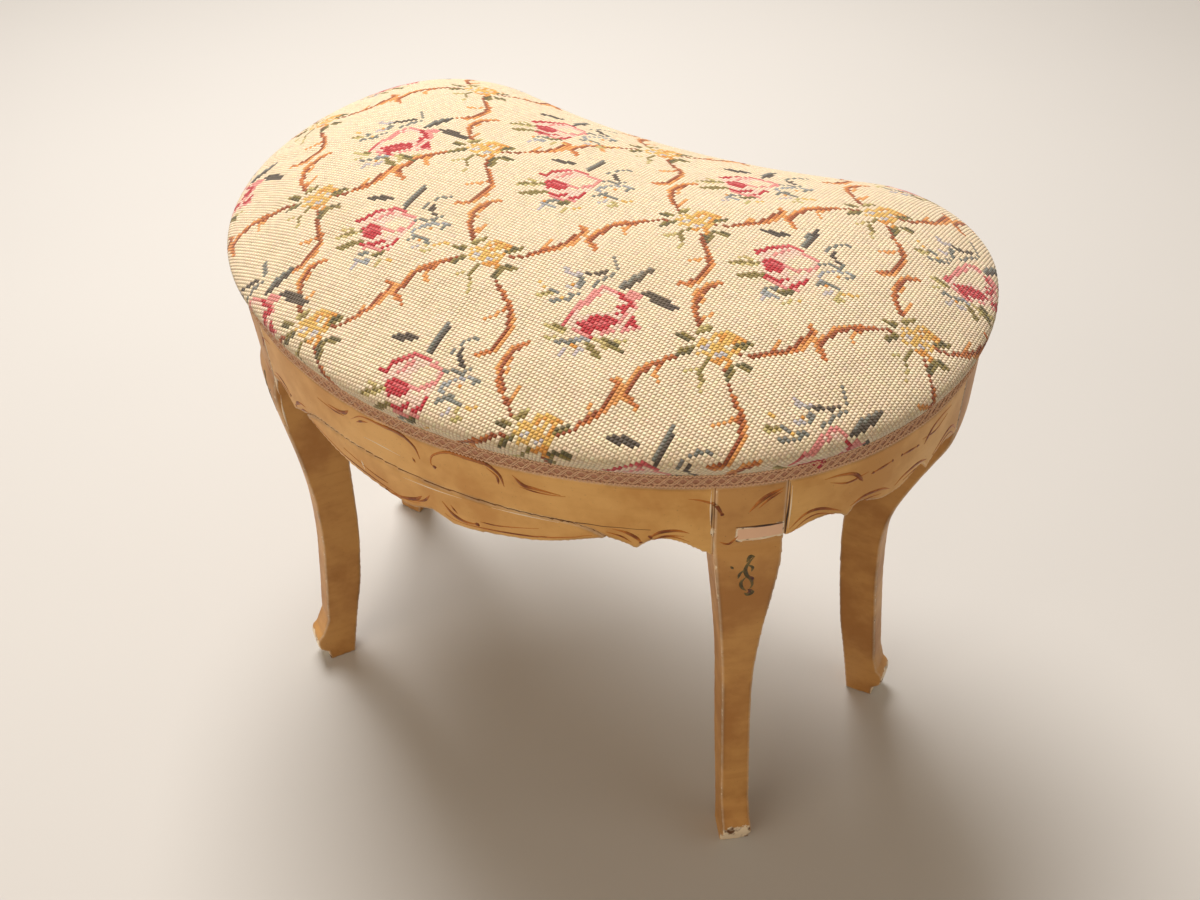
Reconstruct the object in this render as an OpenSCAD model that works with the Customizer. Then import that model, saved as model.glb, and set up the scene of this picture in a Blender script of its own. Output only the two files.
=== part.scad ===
// Kidney-shaped stool: painted cabriole legs, a scalloped apron and a domed needlework seat.
// Millimetres, +Z up. The origin is on the floor under the middle of the seat,
// the long axis lies along X and the bulging front faces -Y.
// Plan angles are counted from the front, -Y, towards the right, +X.

/* [Plan of the seat] */
// Radius of the bulging front
front_r = 322; // [300:1:345]
// Half angle that the front arc spans
front_half_angle = 30; // [29:0.5:31]
// Radius of the sides
side_r = 187.5; // [182:0.5:194]
// Angle at which a side runs into its back lobe
side_end_angle = 112; // [108:1:116]
// Radius of the two back lobes
lobe_r = 93; // [86:0.5:100]
// Radius of the hollow back
hollow_r = 485; // [420:5:560]

/* [Heights] */
// Floor to the lower edge of the braid
seat_line = 355; // [330:1:400]
// Rise of the padded seat above that line
crown_rise = 59; // [46:1:70]
// Rise of the seat's rim above that line
rim_rise = 12; // [10:0.5:13]

/* [Rails] */
// Thickness of the rails
rail_t = 24; // [21:0.5:28]
// Rise of the rails above the lower edge of the braid
rail_rise = 7; // [5:0.5:8]
// Depth of the rebate that takes the cover's edge
rebate = 3; // [2.6:0.1:4]
// Deepest drop of the scalloped apron below the braid
apron_drop = 64.5; // [56:0.5:72]
// Drop of the glue line in the front apron
glue_line_drop = 34.5; // [31:0.5:38]
// Opening of the aged glue line
glue_gap = 0.3; // [0.2:0.05:0.6]
// How far the front apron's scallops sit to the left of the middle
apron_shift = 6; // [0:0.5:7]

/* [Legs] */
// Width of a leg's post
post_w = 41; // [38:0.5:44]
// Depth of a leg's post, front to back
post_depth = 40; // [38:0.5:44]
// Width of the shin
shin_w = 20; // [18:0.5:24]
// Depth of the shin
shin_depth = 29; // [27:0.5:34]
// Drop below the braid at which the leg begins to narrow
shoulder_drop = 49; // [46:0.5:54]
// Plan angle of the front legs
front_leg_angle = 36.1; // [36.1:0.1:37.5]
// Plan angle of the back legs
back_leg_angle = 94; // [91:0.5:98]
// Swell of the front knees beyond the apron
front_knee = 4; // [0:0.5:8]
// Swell of the back knees beyond the apron
back_knee = 1.5; // [0:0.5:6]
// How far the front shins curve in under the seat
front_sweep = 4.5; // [0:0.5:12]
// How far the back shins curve in under the seat
back_sweep = 36; // [24:0.5:38]
// Reach of the front toes beyond their shins
front_kick = 28; // [22:0.5:34]
// Reach of the back toes beyond their shins
back_kick = 20; // [16:0.5:28]
// Radius of the rolled toe
toe_r = 12; // [10:0.25:13]

/* [Joinery] */
// Diameter of the dowels
dowel_d = 9; // [6:0.5:10]
// Length of the dowels
dowel_len = 30; // [24:1:34]
// Drop of the upper dowels below the braid
upper_dowel_drop = 12; // [9:0.5:16]
// Drop of the lower dowels below the braid
lower_dowel_drop = 30; // [26:0.5:33]
// Slack round a dowel
dowel_slack = 0.1; // [0.05:0.05:0.2]
// Leg length of the three-cornered glue blocks
block_leg = 15; // [12:0.5:15.5]
// Height of the glue blocks
block_h = 38; // [30:1:44]

/* [Seat base] */
// Width of the webbing
web_w = 50; // [44:1:54]
// Thickness of the webbing
web_t = 1.6; // [1.2:0.1:1.8]
// Distance between the strips that run front to back, as a share of the seat's half length
cross_pitch_share = 0.2905; // [0.275:0.0005:0.306]
// Distance between the strips that run along the stool, as a share of the seat's half depth
long_pitch_share = 0.3955; // [0.378:0.0005:0.407]
// Place of the middle lengthwise strip, as a share of the seat's half depth
long_mid_share = -0.036; // [-0.06:0.001:0]
// Inset of the webbing's ends from the rail's face
web_inset = 9; // [8:0.5:12]
// Inset of the tacks from the rail's face
tack_inset = 15; // [13:0.5:18]
// Distance between the two tacks in a strip's end
tack_pitch = 24; // [16:1:32]
// Thickness of the hessian
hessian_t = 0.8; // [0.5:0.1:1]
// Inset of the hessian and of the stuffing from the rail's face
stuffing_inset = 14; // [12:0.5:18]

/* [Upholstery] */
// Thickness of the cover
cover_t = 1.6; // [1:0.1:1.8]
// Thickness of the wadding
wadding_t = 4; // [2:0.5:4.5]
// Width of the braid
braid_w = 10; // [7:0.5:12]
// Thickness of the braid
braid_t = 1.8; // [1:0.1:2.5]
// Inset of the cover's hanging edge from the rail's face
cover_inset = 1; // [0.8:0.05:1.2]

/* [Hidden] */
$fn = 96;
// Overrun of every cut
over = 1;
// Clearance between layers that lie on each other
seat_gap = 0.3;
// Facets of the tacks and of the large round cuts
fine_facets = 360;
tack_facets = 24;
paint = "#c9b98f";
paint_shade = "#b9a67a";
raw_wood = "#a9845a";

// Centres of the four kinds of arc, the whole plan centred front to back
depth_to_lobe = front_r - (front_r - side_r) * cos(front_half_angle)
  - (side_r - lobe_r) * cos(side_end_angle);
plan_front = -(depth_to_lobe + lobe_r) / 2;
front_c = [0, plan_front + front_r];
side_c = front_c + (front_r - side_r) * way(front_half_angle);
lobe_c = side_c + (side_r - lobe_r) * way(side_end_angle);
hollow_c = [0, lobe_c[1] + sqrt(pow(hollow_r + lobe_r, 2) - pow(lobe_c[0], 2))];
hollow_half_angle = asin(lobe_c[0] / (hollow_r + lobe_r));
lobe_end_angle = 180 + hollow_half_angle;
notch_y = hollow_c[1] - hollow_r;
half_length = side_c[0] + side_r;

rail_top = seat_line + rail_rise;
post_half_angle = asin(post_w / 2 / side_r);
post_overrun_angle = 2;
side_rail_mid = (front_leg_angle + back_leg_angle) / 2;
side_rail_half = (back_leg_angle - front_leg_angle) / 2 - post_half_angle;
lobe_rail_start = back_leg_angle + post_half_angle;
lobe_rail_mid = (lobe_rail_start + lobe_end_angle) / 2;

// A unit step in the plan at an angle from the front
function way(angle) = [sin(angle), -cos(angle)];
function mix(a, b, share) = a + (b - a) * share;
function arc(centre, radius, from, to, count) =
  [for (i = [0:count - 1]) centre + radius * way(mix(from, to, i / count))];
function flip(points) = [for (p = points) [-p[0], p[1]]];
function backwards(points) = [for (i = [len(points) - 1:-1:0]) points[i]];
function mirrored(shares) = backwards([for (s = shares) [-s[0], s[1]]]);

// A smooth curve through points, its ends running straight
function before(points, i) = i > 0 ? points[i - 1] : 2 * points[0] - points[1];
function after(points, i) =
  i < len(points) - 1 ? points[i + 1] : 2 * points[i] - points[i - 1];
function curve_step(a, b, c, d, t) =
  0.5 * (2 * b + (c - a) * t + (2 * a - 5 * b + 4 * c - d) * t * t
    + (3 * b - a - 3 * c + d) * t * t * t);
function curve(points, steps = 5) = concat(
  [for (i = [0:len(points) - 2], k = [0:steps - 1])
    curve_step(before(points, i), points[i], points[i + 1], after(points, i + 1), k / steps)],
  [points[len(points) - 1]]
);
// Right half of the seat's plan from the front's middle to the back's, moved inwards
front_steps = 7;
side_steps = 13;
lobe_steps = 13;
hollow_steps = 7;
function half_plan(inset, finer = 1) = concat(
  arc(front_c, front_r - inset, 0, front_half_angle, front_steps * finer),
  arc(side_c, side_r - inset, front_half_angle, side_end_angle, side_steps * finer),
  arc(lobe_c, lobe_r - inset, side_end_angle, lobe_end_angle, lobe_steps * finer),
  arc(hollow_c, hollow_r + inset, hollow_half_angle, 0, hollow_steps * finer),
  [hollow_c + (hollow_r + inset) * way(0)]
);
function whole_plan(inset, finer = 1) =
  let (half = half_plan(inset, finer), last = len(half) - 1)
  concat(half, flip([for (i = [last - 1:-1:1]) half[i]]));

// Scalloped lower edges: places along a rail as shares of its half length,
// with the drop below the braid as shares of the deepest one
front_belly_shares = [
  [0, 0.905], [0.055, 0.955], [0.112, 1], [0.22, 0.965], [0.316, 0.93], [0.42, 0.89],
  [0.52, 0.825], [0.617, 0.745], [0.682, 0.7], [0.712, 0.705], [0.748, 0.745], [0.786, 0.805]
];
front_arch_shares = [
  [0.786, 0.805], [0.806, 0.74], [0.842, 0.675], [0.878, 0.658], [0.918, 0.685],
  [0.96, 0.745], [1.08, 0.98]
];
glue_line_shares = [
  [0, 0], [0.35, 0.01], [0.54, 0.03], [0.62, 0.12], [0.67, 0.26], [0.7, 0.38]
];
side_belly_shares = [
  [0, 0.7], [0.12, 0.685], [0.22, 0.64], [0.29, 0.6], [0.34, 0.578], [0.39, 0.605],
  [0.46, 0.72]
];
side_arch_shares = [
  [0.46, 0.72], [0.515, 0.655], [0.6, 0.61], [0.7, 0.6], [0.79, 0.625], [0.88, 0.675],
  [0.96, 0.715], [1.04, 0.73]
];
lobe_edge_shares = [
  [-1.06, 0.62], [-0.7, 0.64], [-0.35, 0.7], [0, 0.73], [0.35, 0.7], [0.62, 0.62],
  [0.8, 0.6], [1, 0.65], [1.3, 0.75]
];
back_edge_shares = [
  [0, 0.7], [0.1, 0.745], [0.28, 0.77], [0.5, 0.72], [0.75, 0.64], [1.04, 0.615]
];

// A lower edge in the rail's own elevation, from its middle outwards
function edge(shares, half_len) =
  curve([for (s = shares) [s[0] * half_len, seat_line - s[1] * apron_drop]]);
function both_ways(points) = concat(backwards(flip(points)), points);

// The board outline over a lower edge
module board(lower, top = rail_top) {
  first = lower[0];
  last = lower[len(lower) - 1];
  polygon(concat(lower, [[last[0], top + over], [first[0], top + over]]));
}

// Saws a board outline through a rail that faces the plan angle
module sawn(centre, angle, reach) {
  translate(centre) rotate([0, 0, angle]) rotate([90, 0, 0])
    linear_extrude(height = 2 * reach, center = true) children();
}

// A stretch of rail between two plan angles, with the rebate at its top
module rail_ring(centre, radius, from, to, inward = 1) {
  low = seat_line - apron_drop - over;
  inner = radius - inward * rail_t;
  step = radius - inward * rebate;
  translate(centre) rotate([0, 0, from - 90]) rotate_extrude(angle = to - from)
    polygon([
      [inner, low], [radius, low], [radius, seat_line],
      [step, seat_line], [step, rail_top], [inner, rail_top]
    ]);
}

// The straight-sided space of a post, which the rails stop at
module post_space(angle) {
  low = seat_line - apron_drop - 2 * over;
  translate(side_c) rotate([0, 0, angle])
    translate([-post_w / 2, -side_r - rail_t, low])
      cube([post_w, rail_t + post_depth, rail_top - low + over]);
}

module both_sides() {
  children();
  mirror([1, 0, 0]) children();
}

// Dowels in one face of a post, or of a butt joint: side is +1 or -1, 0 for a butt joint
module dowel_pair(centre, radius, angle, offset, slack = 0) {
  translate(centre) rotate([0, 0, angle])
    for (drop = [upper_dowel_drop, lower_dowel_drop])
      translate([offset - dowel_len / 2 - slack, -radius + rail_t / 2, seat_line - drop])
        rotate([0, 90, 0]) cylinder(d = dowel_d + 2 * slack, h = dowel_len + 2 * slack);
}
module post_dowels(angle, slack = 0) {
  for (side = [-1, 1]) dowel_pair(side_c, side_r, angle, side * post_w / 2, slack);
}
module butt_dowels(angle, slack = 0) {
  dowel_pair(lobe_c, lobe_r, angle, 0, slack);
}
module dowels_right(slack = 0) {
  post_dowels(front_leg_angle, slack);
  post_dowels(back_leg_angle, slack);
  butt_dowels(side_end_angle, slack);
  butt_dowels(lobe_end_angle, slack);
}

// Front rail, one bent board that a glue line divides
front_half_len = front_r * sin(front_half_angle);
front_edge = concat(
  edge(front_belly_shares, front_half_len), edge(front_arch_shares, front_half_len)
);
glue_line = curve([for (s = glue_line_shares)
  [s[0] * front_half_len, seat_line - glue_line_drop - s[1] * (apron_drop - glue_line_drop)]]);
module below_glue_line(lift) {
  line = both_ways(glue_line);
  low = seat_line - apron_drop - over;
  last = line[len(line) - 1];
  translate([-apron_shift, lift])
    polygon(concat(line, [[last[0], low], [-last[0], low]]));
}
module front_board() {
  translate([-apron_shift, 0]) board(both_ways(front_edge));
}
module front_blank() {
  reach = front_half_angle + asin(over / front_r);
  rail_ring(front_c, front_r, -reach, reach);
}
module post_spaces() {
  both_sides() {
    post_space(front_leg_angle);
    post_space(back_leg_angle);
  }
}
module rail_front() {
  color(paint) difference() {
    intersection() {
      front_blank();
      sawn(front_c, 0, front_r + over) difference() {
        front_board();
        below_glue_line(glue_gap / 2);
      }
    }
    post_spaces();
    both_sides() dowels_right(dowel_slack);
    tack_shanks();
  }
}
module rail_front_belly() {
  color(paint) intersection() {
    front_blank();
    sawn(front_c, 0, front_r + over) intersection() {
      front_board();
      below_glue_line(-glue_gap / 2);
    }
  }
}

// Side rails, between the front and the back posts
side_half_len = side_r * sin(side_rail_half);
side_edge = concat(
  edge(side_belly_shares, side_half_len), edge(side_arch_shares, side_half_len)
);
module rail_side() {
  color(paint) difference() {
    intersection() {
      rail_ring(side_c, side_r, front_leg_angle, back_leg_angle);
      sawn(side_c, side_rail_mid, side_r + over) board(both_ways(side_edge));
    }
    post_spaces();
    dowels_right(dowel_slack);
    tack_shanks();
  }
}

// Corner rails behind the back posts and the round lobe rails that go on from them. One
// sawn line runs along the lower edges of both
lobe_half_len = lobe_r * sin(lobe_end_angle - lobe_rail_mid);
module lobe_sawn() {
  sawn(lobe_c, lobe_rail_mid, side_r) board(edge(mirrored(lobe_edge_shares), lobe_half_len));
}
module rail_corner() {
  color(paint_shade) difference() {
    intersection() {
      rail_ring(side_c, side_r, back_leg_angle, side_end_angle);
      lobe_sawn();
    }
    post_spaces();
    dowels_right(dowel_slack);
    tack_shanks();
  }
}
module rail_lobe() {
  color(paint_shade) difference() {
    intersection() {
      rail_ring(lobe_c, lobe_r, side_end_angle, lobe_end_angle);
      lobe_sawn();
    }
    dowels_right(dowel_slack);
    tack_shanks();
  }
}

// Hollow back rail
hollow_half_len = hollow_r * sin(hollow_half_angle);
module rail_back() {
  color(paint_shade) difference() {
    intersection() {
      rail_ring(hollow_c, hollow_r, -hollow_half_angle, hollow_half_angle, -1);
      sawn([0, 0], 0, side_r + lobe_r) board(both_ways(edge(back_edge_shares, hollow_half_len)));
    }
    both_sides() butt_dowels(lobe_end_angle, dowel_slack);
    tack_shanks();
  }
}

// A leg's outer line from the shoulder down to the ankle. The columns are shares of the
// shoulder's height, of the knee's swell, of the sweep under the seat and of the toe's reach
outer_line_shares = [
  [1, 0, 0, 0], [0.97, 0.7, 0.06, 0], [0.934, 1, 0.17, 0], [0.86, 0.9, 0.42, 0],
  [0.787, 0.6, 0.64, 0], [0.715, 0.3, 0.83, 0], [0.643, 0.1, 0.95, 0], [0.574, 0, 1, 0],
  [0.49, 0, 1, 0.04], [0.41, 0, 1, 0.12], [0.33, 0, 1, 0.24], [0.25, 0, 1, 0.365],
  [0.19, 0, 1, 0.47], [0.15, 0, 1, 0.53]
];
// The inner line from the foot up, with shares of height, of the step from the shin's depth
// to the post's, of the sweep and of the toe's reach
inner_line_shares = [
  [0, 0, 1, 1.06], [0.065, 0, 1, 0.9], [0.16, 0, 1, 0.66], [0.25, 0, 1, 0.41],
  [0.33, 0, 1, 0.26], [0.41, 0, 1, 0.13], [0.49, 0, 1, 0.04], [0.574, 0.05, 1, 0],
  [0.66, 0.2, 0.93, 0], [0.75, 0.45, 0.72, 0], [0.84, 0.7, 0.44, 0], [0.92, 0.9, 0.18, 0],
  [1, 1, 0, 0]
];
// Half widths of a leg's face, as shares of the step from the shin's width to the post's
face_shares = [
  [1.012, 1], [0.967, 0.94], [0.9, 0.8], [0.836, 0.63], [0.754, 0.42], [0.672, 0.235],
  [0.59, 0.09], [0.49, 0.01], [0.3, 0], [0.08, 0.03], [0, 0.1]
];
// Start and end of the toe's roll, in degrees from level, and its steps
toe_roll_from = 58;
toe_roll_to = -62;
toe_roll_steps = 8;
// Height of the roll's centre and reach of the pad under it, as shares of the toe's radius
toe_centre_share = 1.7;
toe_pad_share = 0.45;

shoulder_h = seat_line - shoulder_drop;
module leg_profile(knee, sweep, kick) {
  outer = curve([for (s = outer_line_shares)
    [side_r + knee * s[1] - sweep * s[2] + kick * s[3], shoulder_h * s[0]]]);
  inner = curve([for (s = inner_line_shares)
    [side_r - mix(shin_depth, post_depth, s[1]) - sweep * s[2] + kick * s[3],
      shoulder_h * s[0]]]);
  toe_c = [side_r - sweep + kick - toe_r, toe_centre_share * toe_r];
  roll = [for (i = [0:toe_roll_steps])
    let (a = mix(toe_roll_from, toe_roll_to, i / toe_roll_steps))
    toe_c + toe_r * [cos(a), sin(a)]];
  pad = [toe_c[0] + toe_pad_share * toe_r, 0];
  polygon(concat(
    [
      [side_r - post_depth, rail_top], [side_r - rebate, rail_top],
      [side_r - rebate, seat_line], [side_r, seat_line]
    ],
    outer, roll, [pad], inner
  ));
}
module leg_face() {
  edge_line = curve([for (s = face_shares)
    [mix(shin_w, post_w, s[1]) / 2, shoulder_h * s[0]]]);
  right = concat([[post_w / 2, rail_top + over]], edge_line);
  polygon(concat(right, backwards(flip(right))));
}
module leg(angle, knee, sweep, kick) {
  turn = post_half_angle + post_overrun_angle;
  color(paint) difference() {
    intersection() {
      translate(side_c) rotate([0, 0, angle - 90 - turn])
        rotate_extrude(angle = 2 * turn) leg_profile(knee, sweep, kick);
      sawn(side_c, angle, side_r + kick) leg_face();
    }
    post_dowels(angle, dowel_slack);
    tack_shanks();
  }
}

// Three-cornered glue blocks in the corners between a post and its rails
module glue_block(angle, side, centre, radius) {
  blank = block_leg + rail_t;
  color(raw_wood) intersection() {
    translate(side_c) rotate([0, 0, angle])
      translate([side * post_w / 2, -side_r + post_depth, rail_top - over - block_h])
        linear_extrude(height = block_h)
          polygon([[0, 0], [0, -blank], [side * blank, -blank]]);
    translate([centre[0], centre[1], 0])
      cylinder(r = radius - rail_t, h = rail_top, $fn = fine_facets);
  }
}
module glue_blocks(angle, front_side_c, front_side_r) {
  glue_block(angle, -1, front_side_c, front_side_r);
  glue_block(angle, 1, side_c, side_r);
}

// Webbing, woven over and under on top of the rails
long_places = [for (k = [-1:1]) (long_mid_share + k * long_pitch_share) * -plan_front];
cross_places = [for (k = [-2:2]) k * cross_pitch_share * half_length];
web_step = web_t + seat_gap;
web_ramp = 8;
// Height of a strip just before a crossing: that of the crossing before it, or the rail's
function web_level(crossings, x) =
  let (passed = [for (c = crossings) if (c[0] < x) c[1]])
  len(passed) == 0 ? 0 : passed[len(passed) - 1];
function woven(places, first_over) = [for (i = [0:len(places) - 1])
  [places[i], (i + first_over) % 2 == 0 ? web_step : 0]];
module web_strip(crossings, half_len) {
  flat = web_w / 2 + over;
  line = concat(
    [[-half_len, 0]],
    [for (c = crossings) each [
      [c[0] - flat - web_ramp / 2, web_level(crossings, c[0] - flat - web_ramp)],
      [c[0] - flat, c[1]], [c[0] + flat, c[1]]
    ]],
    [
      [crossings[len(crossings) - 1][0] + flat + web_ramp, 0],
      [half_len, 0]
    ]
  );
  translate([0, 0, rail_top + seat_gap]) rotate([90, 0, 0])
    linear_extrude(height = web_w, center = true)
      polygon(concat(line, [for (p = backwards(line)) p + [0, web_t]]));
}
module trimmed_to_rails() {
  intersection() {
    children();
    translate([0, 0, rail_top]) linear_extrude(height = 2 * web_step + over)
      polygon(whole_plan(web_inset, 2));
  }
}
module webbing_long(k) {
  color("#b08d5f") difference() {
    trimmed_to_rails() translate([0, long_places[k]])
      web_strip(woven(cross_places, k), half_length);
    tack_shanks();
  }
}
module webbing_cross(k) {
  color("#a5824f") difference() {
    trimmed_to_rails() translate([cross_places[k], 0]) rotate([0, 0, 90])
      web_strip(woven(long_places, k + 1), side_r);
    tack_shanks();
  }
}

// Places on the rails' tops at the tacks' inset
function chord(radius, offset) = sqrt(radius * radius - offset * offset);
function front_place(x) = abs(x) < front_r * sin(front_half_angle)
  ? front_c[1] - chord(front_r - tack_inset, x)
  : side_c[1] - chord(side_r - tack_inset, abs(x) - side_c[0]);
function back_place(x) = abs(x) < hollow_half_len
  ? hollow_c[1] - chord(hollow_r + tack_inset, x)
  : lobe_c[1] + chord(lobe_r - tack_inset, abs(x) - lobe_c[0]);
function side_place(y) = side_c[0] + chord(side_r - tack_inset, y - side_c[1]);
tack_sides = [-tack_pitch / 2, tack_pitch / 2];
tack_places = concat(
  [for (x = cross_places, s = tack_sides) each [
    [x + s, front_place(x + s)], [x + s, back_place(x + s)]
  ]],
  [for (y = long_places, s = tack_sides, way = [-1, 1]) [way * side_place(y + s), y + s]]
);
tack_head_d = 6;
tack_head_t = 0.7;
tack_shank_d = 1.8;
tack_len = 12;
tack_slack = 0.1;
tack_head_z = rail_top + seat_gap + web_t + tack_slack;
module tack_shanks() {
  for (p = tack_places) translate([p[0], p[1], rail_top - tack_len - tack_slack])
    cylinder(
      d = tack_shank_d + 2 * tack_slack, h = tack_len + 2 * web_step + tack_slack,
      $fn = tack_facets
    );
}
module webbing_tacks() {
  color("#4b4a48") for (p = tack_places) {
    translate([p[0], p[1], rail_top - tack_len])
      cylinder(d = tack_shank_d, h = tack_head_z - rail_top + tack_len, $fn = tack_facets);
    translate([p[0], p[1], tack_head_z])
      cylinder(d = tack_head_d, h = tack_head_t, $fn = tack_facets);
  }
}

// Hessian over the webbing
hessian_z = rail_top + 2 * seat_gap + 2 * web_step;
module hessian() {
  color("#c2a26d") translate([0, 0, hessian_z])
    linear_extrude(height = hessian_t) polygon(whole_plan(stuffing_inset));
}

// The seat's dome. Each point of the plan has a partner on the ridge line of the seat,
// and the surface rises from the rim towards the ridge
ridge_mid_y = (plan_front + notch_y) / 2;
ridge_bend = 3.15;
ridge_knee_share = 0.565;
function ridge(x) = [
  x, ridge_mid_y + (lobe_c[1] - ridge_mid_y) * pow(abs(x) / lobe_c[0], ridge_bend)
];
ridge_partners = concat(
  [for (i = [0:front_steps - 1]) ridge(lobe_c[0] * ridge_knee_share * i / front_steps)],
  [for (i = [0:side_steps - 1])
    ridge(lobe_c[0] * mix(ridge_knee_share, 1, i / side_steps))],
  [for (i = [0:lobe_steps - 1]) lobe_c],
  [for (i = [0:hollow_steps]) ridge(lobe_c[0] * (1 - i / hollow_steps))]
);
plan_points = half_plan(0);
dome_reach = 150;
dome_fullness = 3.4;
dome_rise = crown_rise - rim_rise;
function dome(inset) =
  rim_rise + dome_rise * (1 - pow(1 - min(inset, dome_reach) / dome_reach, dome_fullness));

// One ring of the seat: a fixed inset, then a share of what is left up to the ridge.
// A level of its own replaces the dome's height where it is given
function seat_ring(inset, share, sink, level = undef) = [
  for (i = [0:len(plan_points) - 1])
    let (
      out = plan_points[i], in = ridge_partners[i], reach = norm(in - out),
      far = inset + share * (reach - inset), p = mix(out, in, far / reach)
    )
    [p[0], p[1], seat_line + (is_undef(level) ? dome(far) - sink : level)]
];
function full_ring(half) =
  concat(half, [for (i = [len(half) - 2:-1:1]) [-half[i][0], half[i][1], half[i][2]]]);

// Triangles across the right half of a ring, from the front's middle and the back's middle
// to the point where both reach the end of the ridge
ring_tip = front_steps + side_steps;
ring_half = len(plan_points) - 1;
function across(i, j) = i == ring_tip && j == ring_tip ? []
  : j == ring_tip || (i < ring_tip && ridge_partners[i + 1][0] <= ridge_partners[j - 1][0])
    ? concat([[i, i + 1, j]], across(i + 1, j))
    : concat([[i, j - 1, j]], across(i, j - 1));

// Closed skin over a list of rings, each end closed by triangles across it
module ring_solid(half_rings) {
  rings = [for (r = half_rings) full_ring(r)];
  n = len(rings[0]);
  top = (len(rings) - 1) * n;
  sides = [for (r = [0:len(rings) - 2], i = [0:n - 1]) each [
    [r * n + i, (r + 1) * n + i, (r + 1) * n + (i + 1) % n],
    [r * n + i, (r + 1) * n + (i + 1) % n, r * n + (i + 1) % n]
  ]];
  right = across(0, ring_half);
  left = [for (f = right) [(n - f[2]) % n, (n - f[1]) % n, (n - f[0]) % n]];
  floor_faces = concat(right, left);
  roof_faces = [for (f = floor_faces) [f[2] + top, f[1] + top, f[0] + top]];
  polyhedron(points = [for (r = rings) each r], faces = concat(sides, floor_faces, roof_faces));
}
// Insets and shares at which the dome's rings lie, from the rim to the ridge
dome_insets = [8, 24];
dome_shares = [0.25, 0.55, 0.88];
function dome_rings(sink, from = 0) = concat(
  [for (k = [from:len(dome_insets) - 1]) seat_ring(dome_insets[k], 0, sink)],
  [for (s = dome_shares) seat_ring(dome_insets[len(dome_insets) - 1], s, sink)]
);
wadding_sink = cover_t + seat_gap;
stuffing_sink = wadding_sink + wadding_t + seat_gap;
cushion_floor = hessian_z + hessian_t + seat_gap - seat_line;
module stuffing() {
  color("#d8c9a2") ring_solid(concat(
    [seat_ring(stuffing_inset, 0, 0, cushion_floor)],
    dome_rings(stuffing_sink, 1)
  ));
}
// Wadding, a soft layer over the stuffing that thins out on the rails
wadding_edge_inset = 7;
wadding_edge_level = rail_rise + 2 * seat_gap + web_t + over;
module wadding() {
  color("#efe9d8") ring_solid(concat(
    backwards(dome_rings(wadding_sink + wadding_t, 1)),
    [seat_ring(stuffing_inset - over, 0, 0, cushion_floor)],
    [seat_ring(wadding_edge_inset, 0, 0, wadding_edge_level)],
    dome_rings(wadding_sink)
  ));
}
// Needlework cover: a skin that hangs over the rails' rebate and rises to the crown
rim_round = 2.2;
module needlework_cover() {
  inner = cover_inset + cover_t;
  color("#e6dcbf") ring_solid(concat(
    backwards(dome_rings(cover_t)),
    [
      seat_ring(inner, 0, 0, rim_rise - over),
      seat_ring(inner, 0, 0, seat_gap),
      seat_ring(cover_inset, 0, 0, seat_gap),
      seat_ring(cover_inset, 0, 0, rim_rise),
      seat_ring(cover_inset + rim_round, 0, 0, rim_rise + rim_round)
    ],
    dome_rings(0)
  ));
}

// Woven braid over the cover's lower edge
module gimp_braid() {
  inside = cover_inset - seat_gap;
  color("#bd9d85") translate([0, 0, seat_line + seat_gap]) linear_extrude(height = braid_w)
    difference() {
      polygon(whole_plan(inside - braid_t, 2));
      polygon(whole_plan(inside, 2));
    }
}

mirror([1, 0, 0]) leg(front_leg_angle, front_knee, front_sweep, front_kick);  // leg_front_left
leg(front_leg_angle, front_knee, front_sweep, front_kick);  // leg_front_right
mirror([1, 0, 0]) leg(back_leg_angle, back_knee, back_sweep, back_kick);  // leg_back_left
leg(back_leg_angle, back_knee, back_sweep, back_kick);  // leg_back_right
rail_front();
rail_front_belly();
mirror([1, 0, 0]) rail_side();  // rail_side_left
rail_side();  // rail_side_right
mirror([1, 0, 0]) rail_corner();  // rail_corner_left
rail_corner();  // rail_corner_right
mirror([1, 0, 0]) rail_lobe();  // rail_lobe_left
rail_lobe();  // rail_lobe_right
rail_back();
color(raw_wood) both_sides() dowels_right();  // rail_dowels
mirror([1, 0, 0]) glue_blocks(front_leg_angle, front_c, front_r);  // glue_blocks_front_left
glue_blocks(front_leg_angle, front_c, front_r);  // glue_blocks_front_right
mirror([1, 0, 0]) glue_blocks(back_leg_angle, side_c, side_r);  // glue_blocks_back_left
glue_blocks(back_leg_angle, side_c, side_r);  // glue_blocks_back_right
webbing_long(0);  // webbing_long_front
webbing_long(1);  // webbing_long_middle
webbing_long(2);  // webbing_long_back
webbing_cross(0);  // webbing_cross_1
webbing_cross(1);  // webbing_cross_2
webbing_cross(2);  // webbing_cross_3
webbing_cross(3);  // webbing_cross_4
webbing_cross(4);  // webbing_cross_5
webbing_tacks();
hessian();
stuffing();
wadding();
needlework_cover();
gimp_braid();
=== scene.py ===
"""Kidney-shaped painted stool with a needlework seat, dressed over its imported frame."""
import logging
import math
from dataclasses import dataclass, field
from enum import Enum
from typing import NamedTuple

import bmesh
import bpy
import numpy as np
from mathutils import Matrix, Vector
from mathutils.bvhtree import BVHTree
from mathutils.kdtree import KDTree


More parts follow.
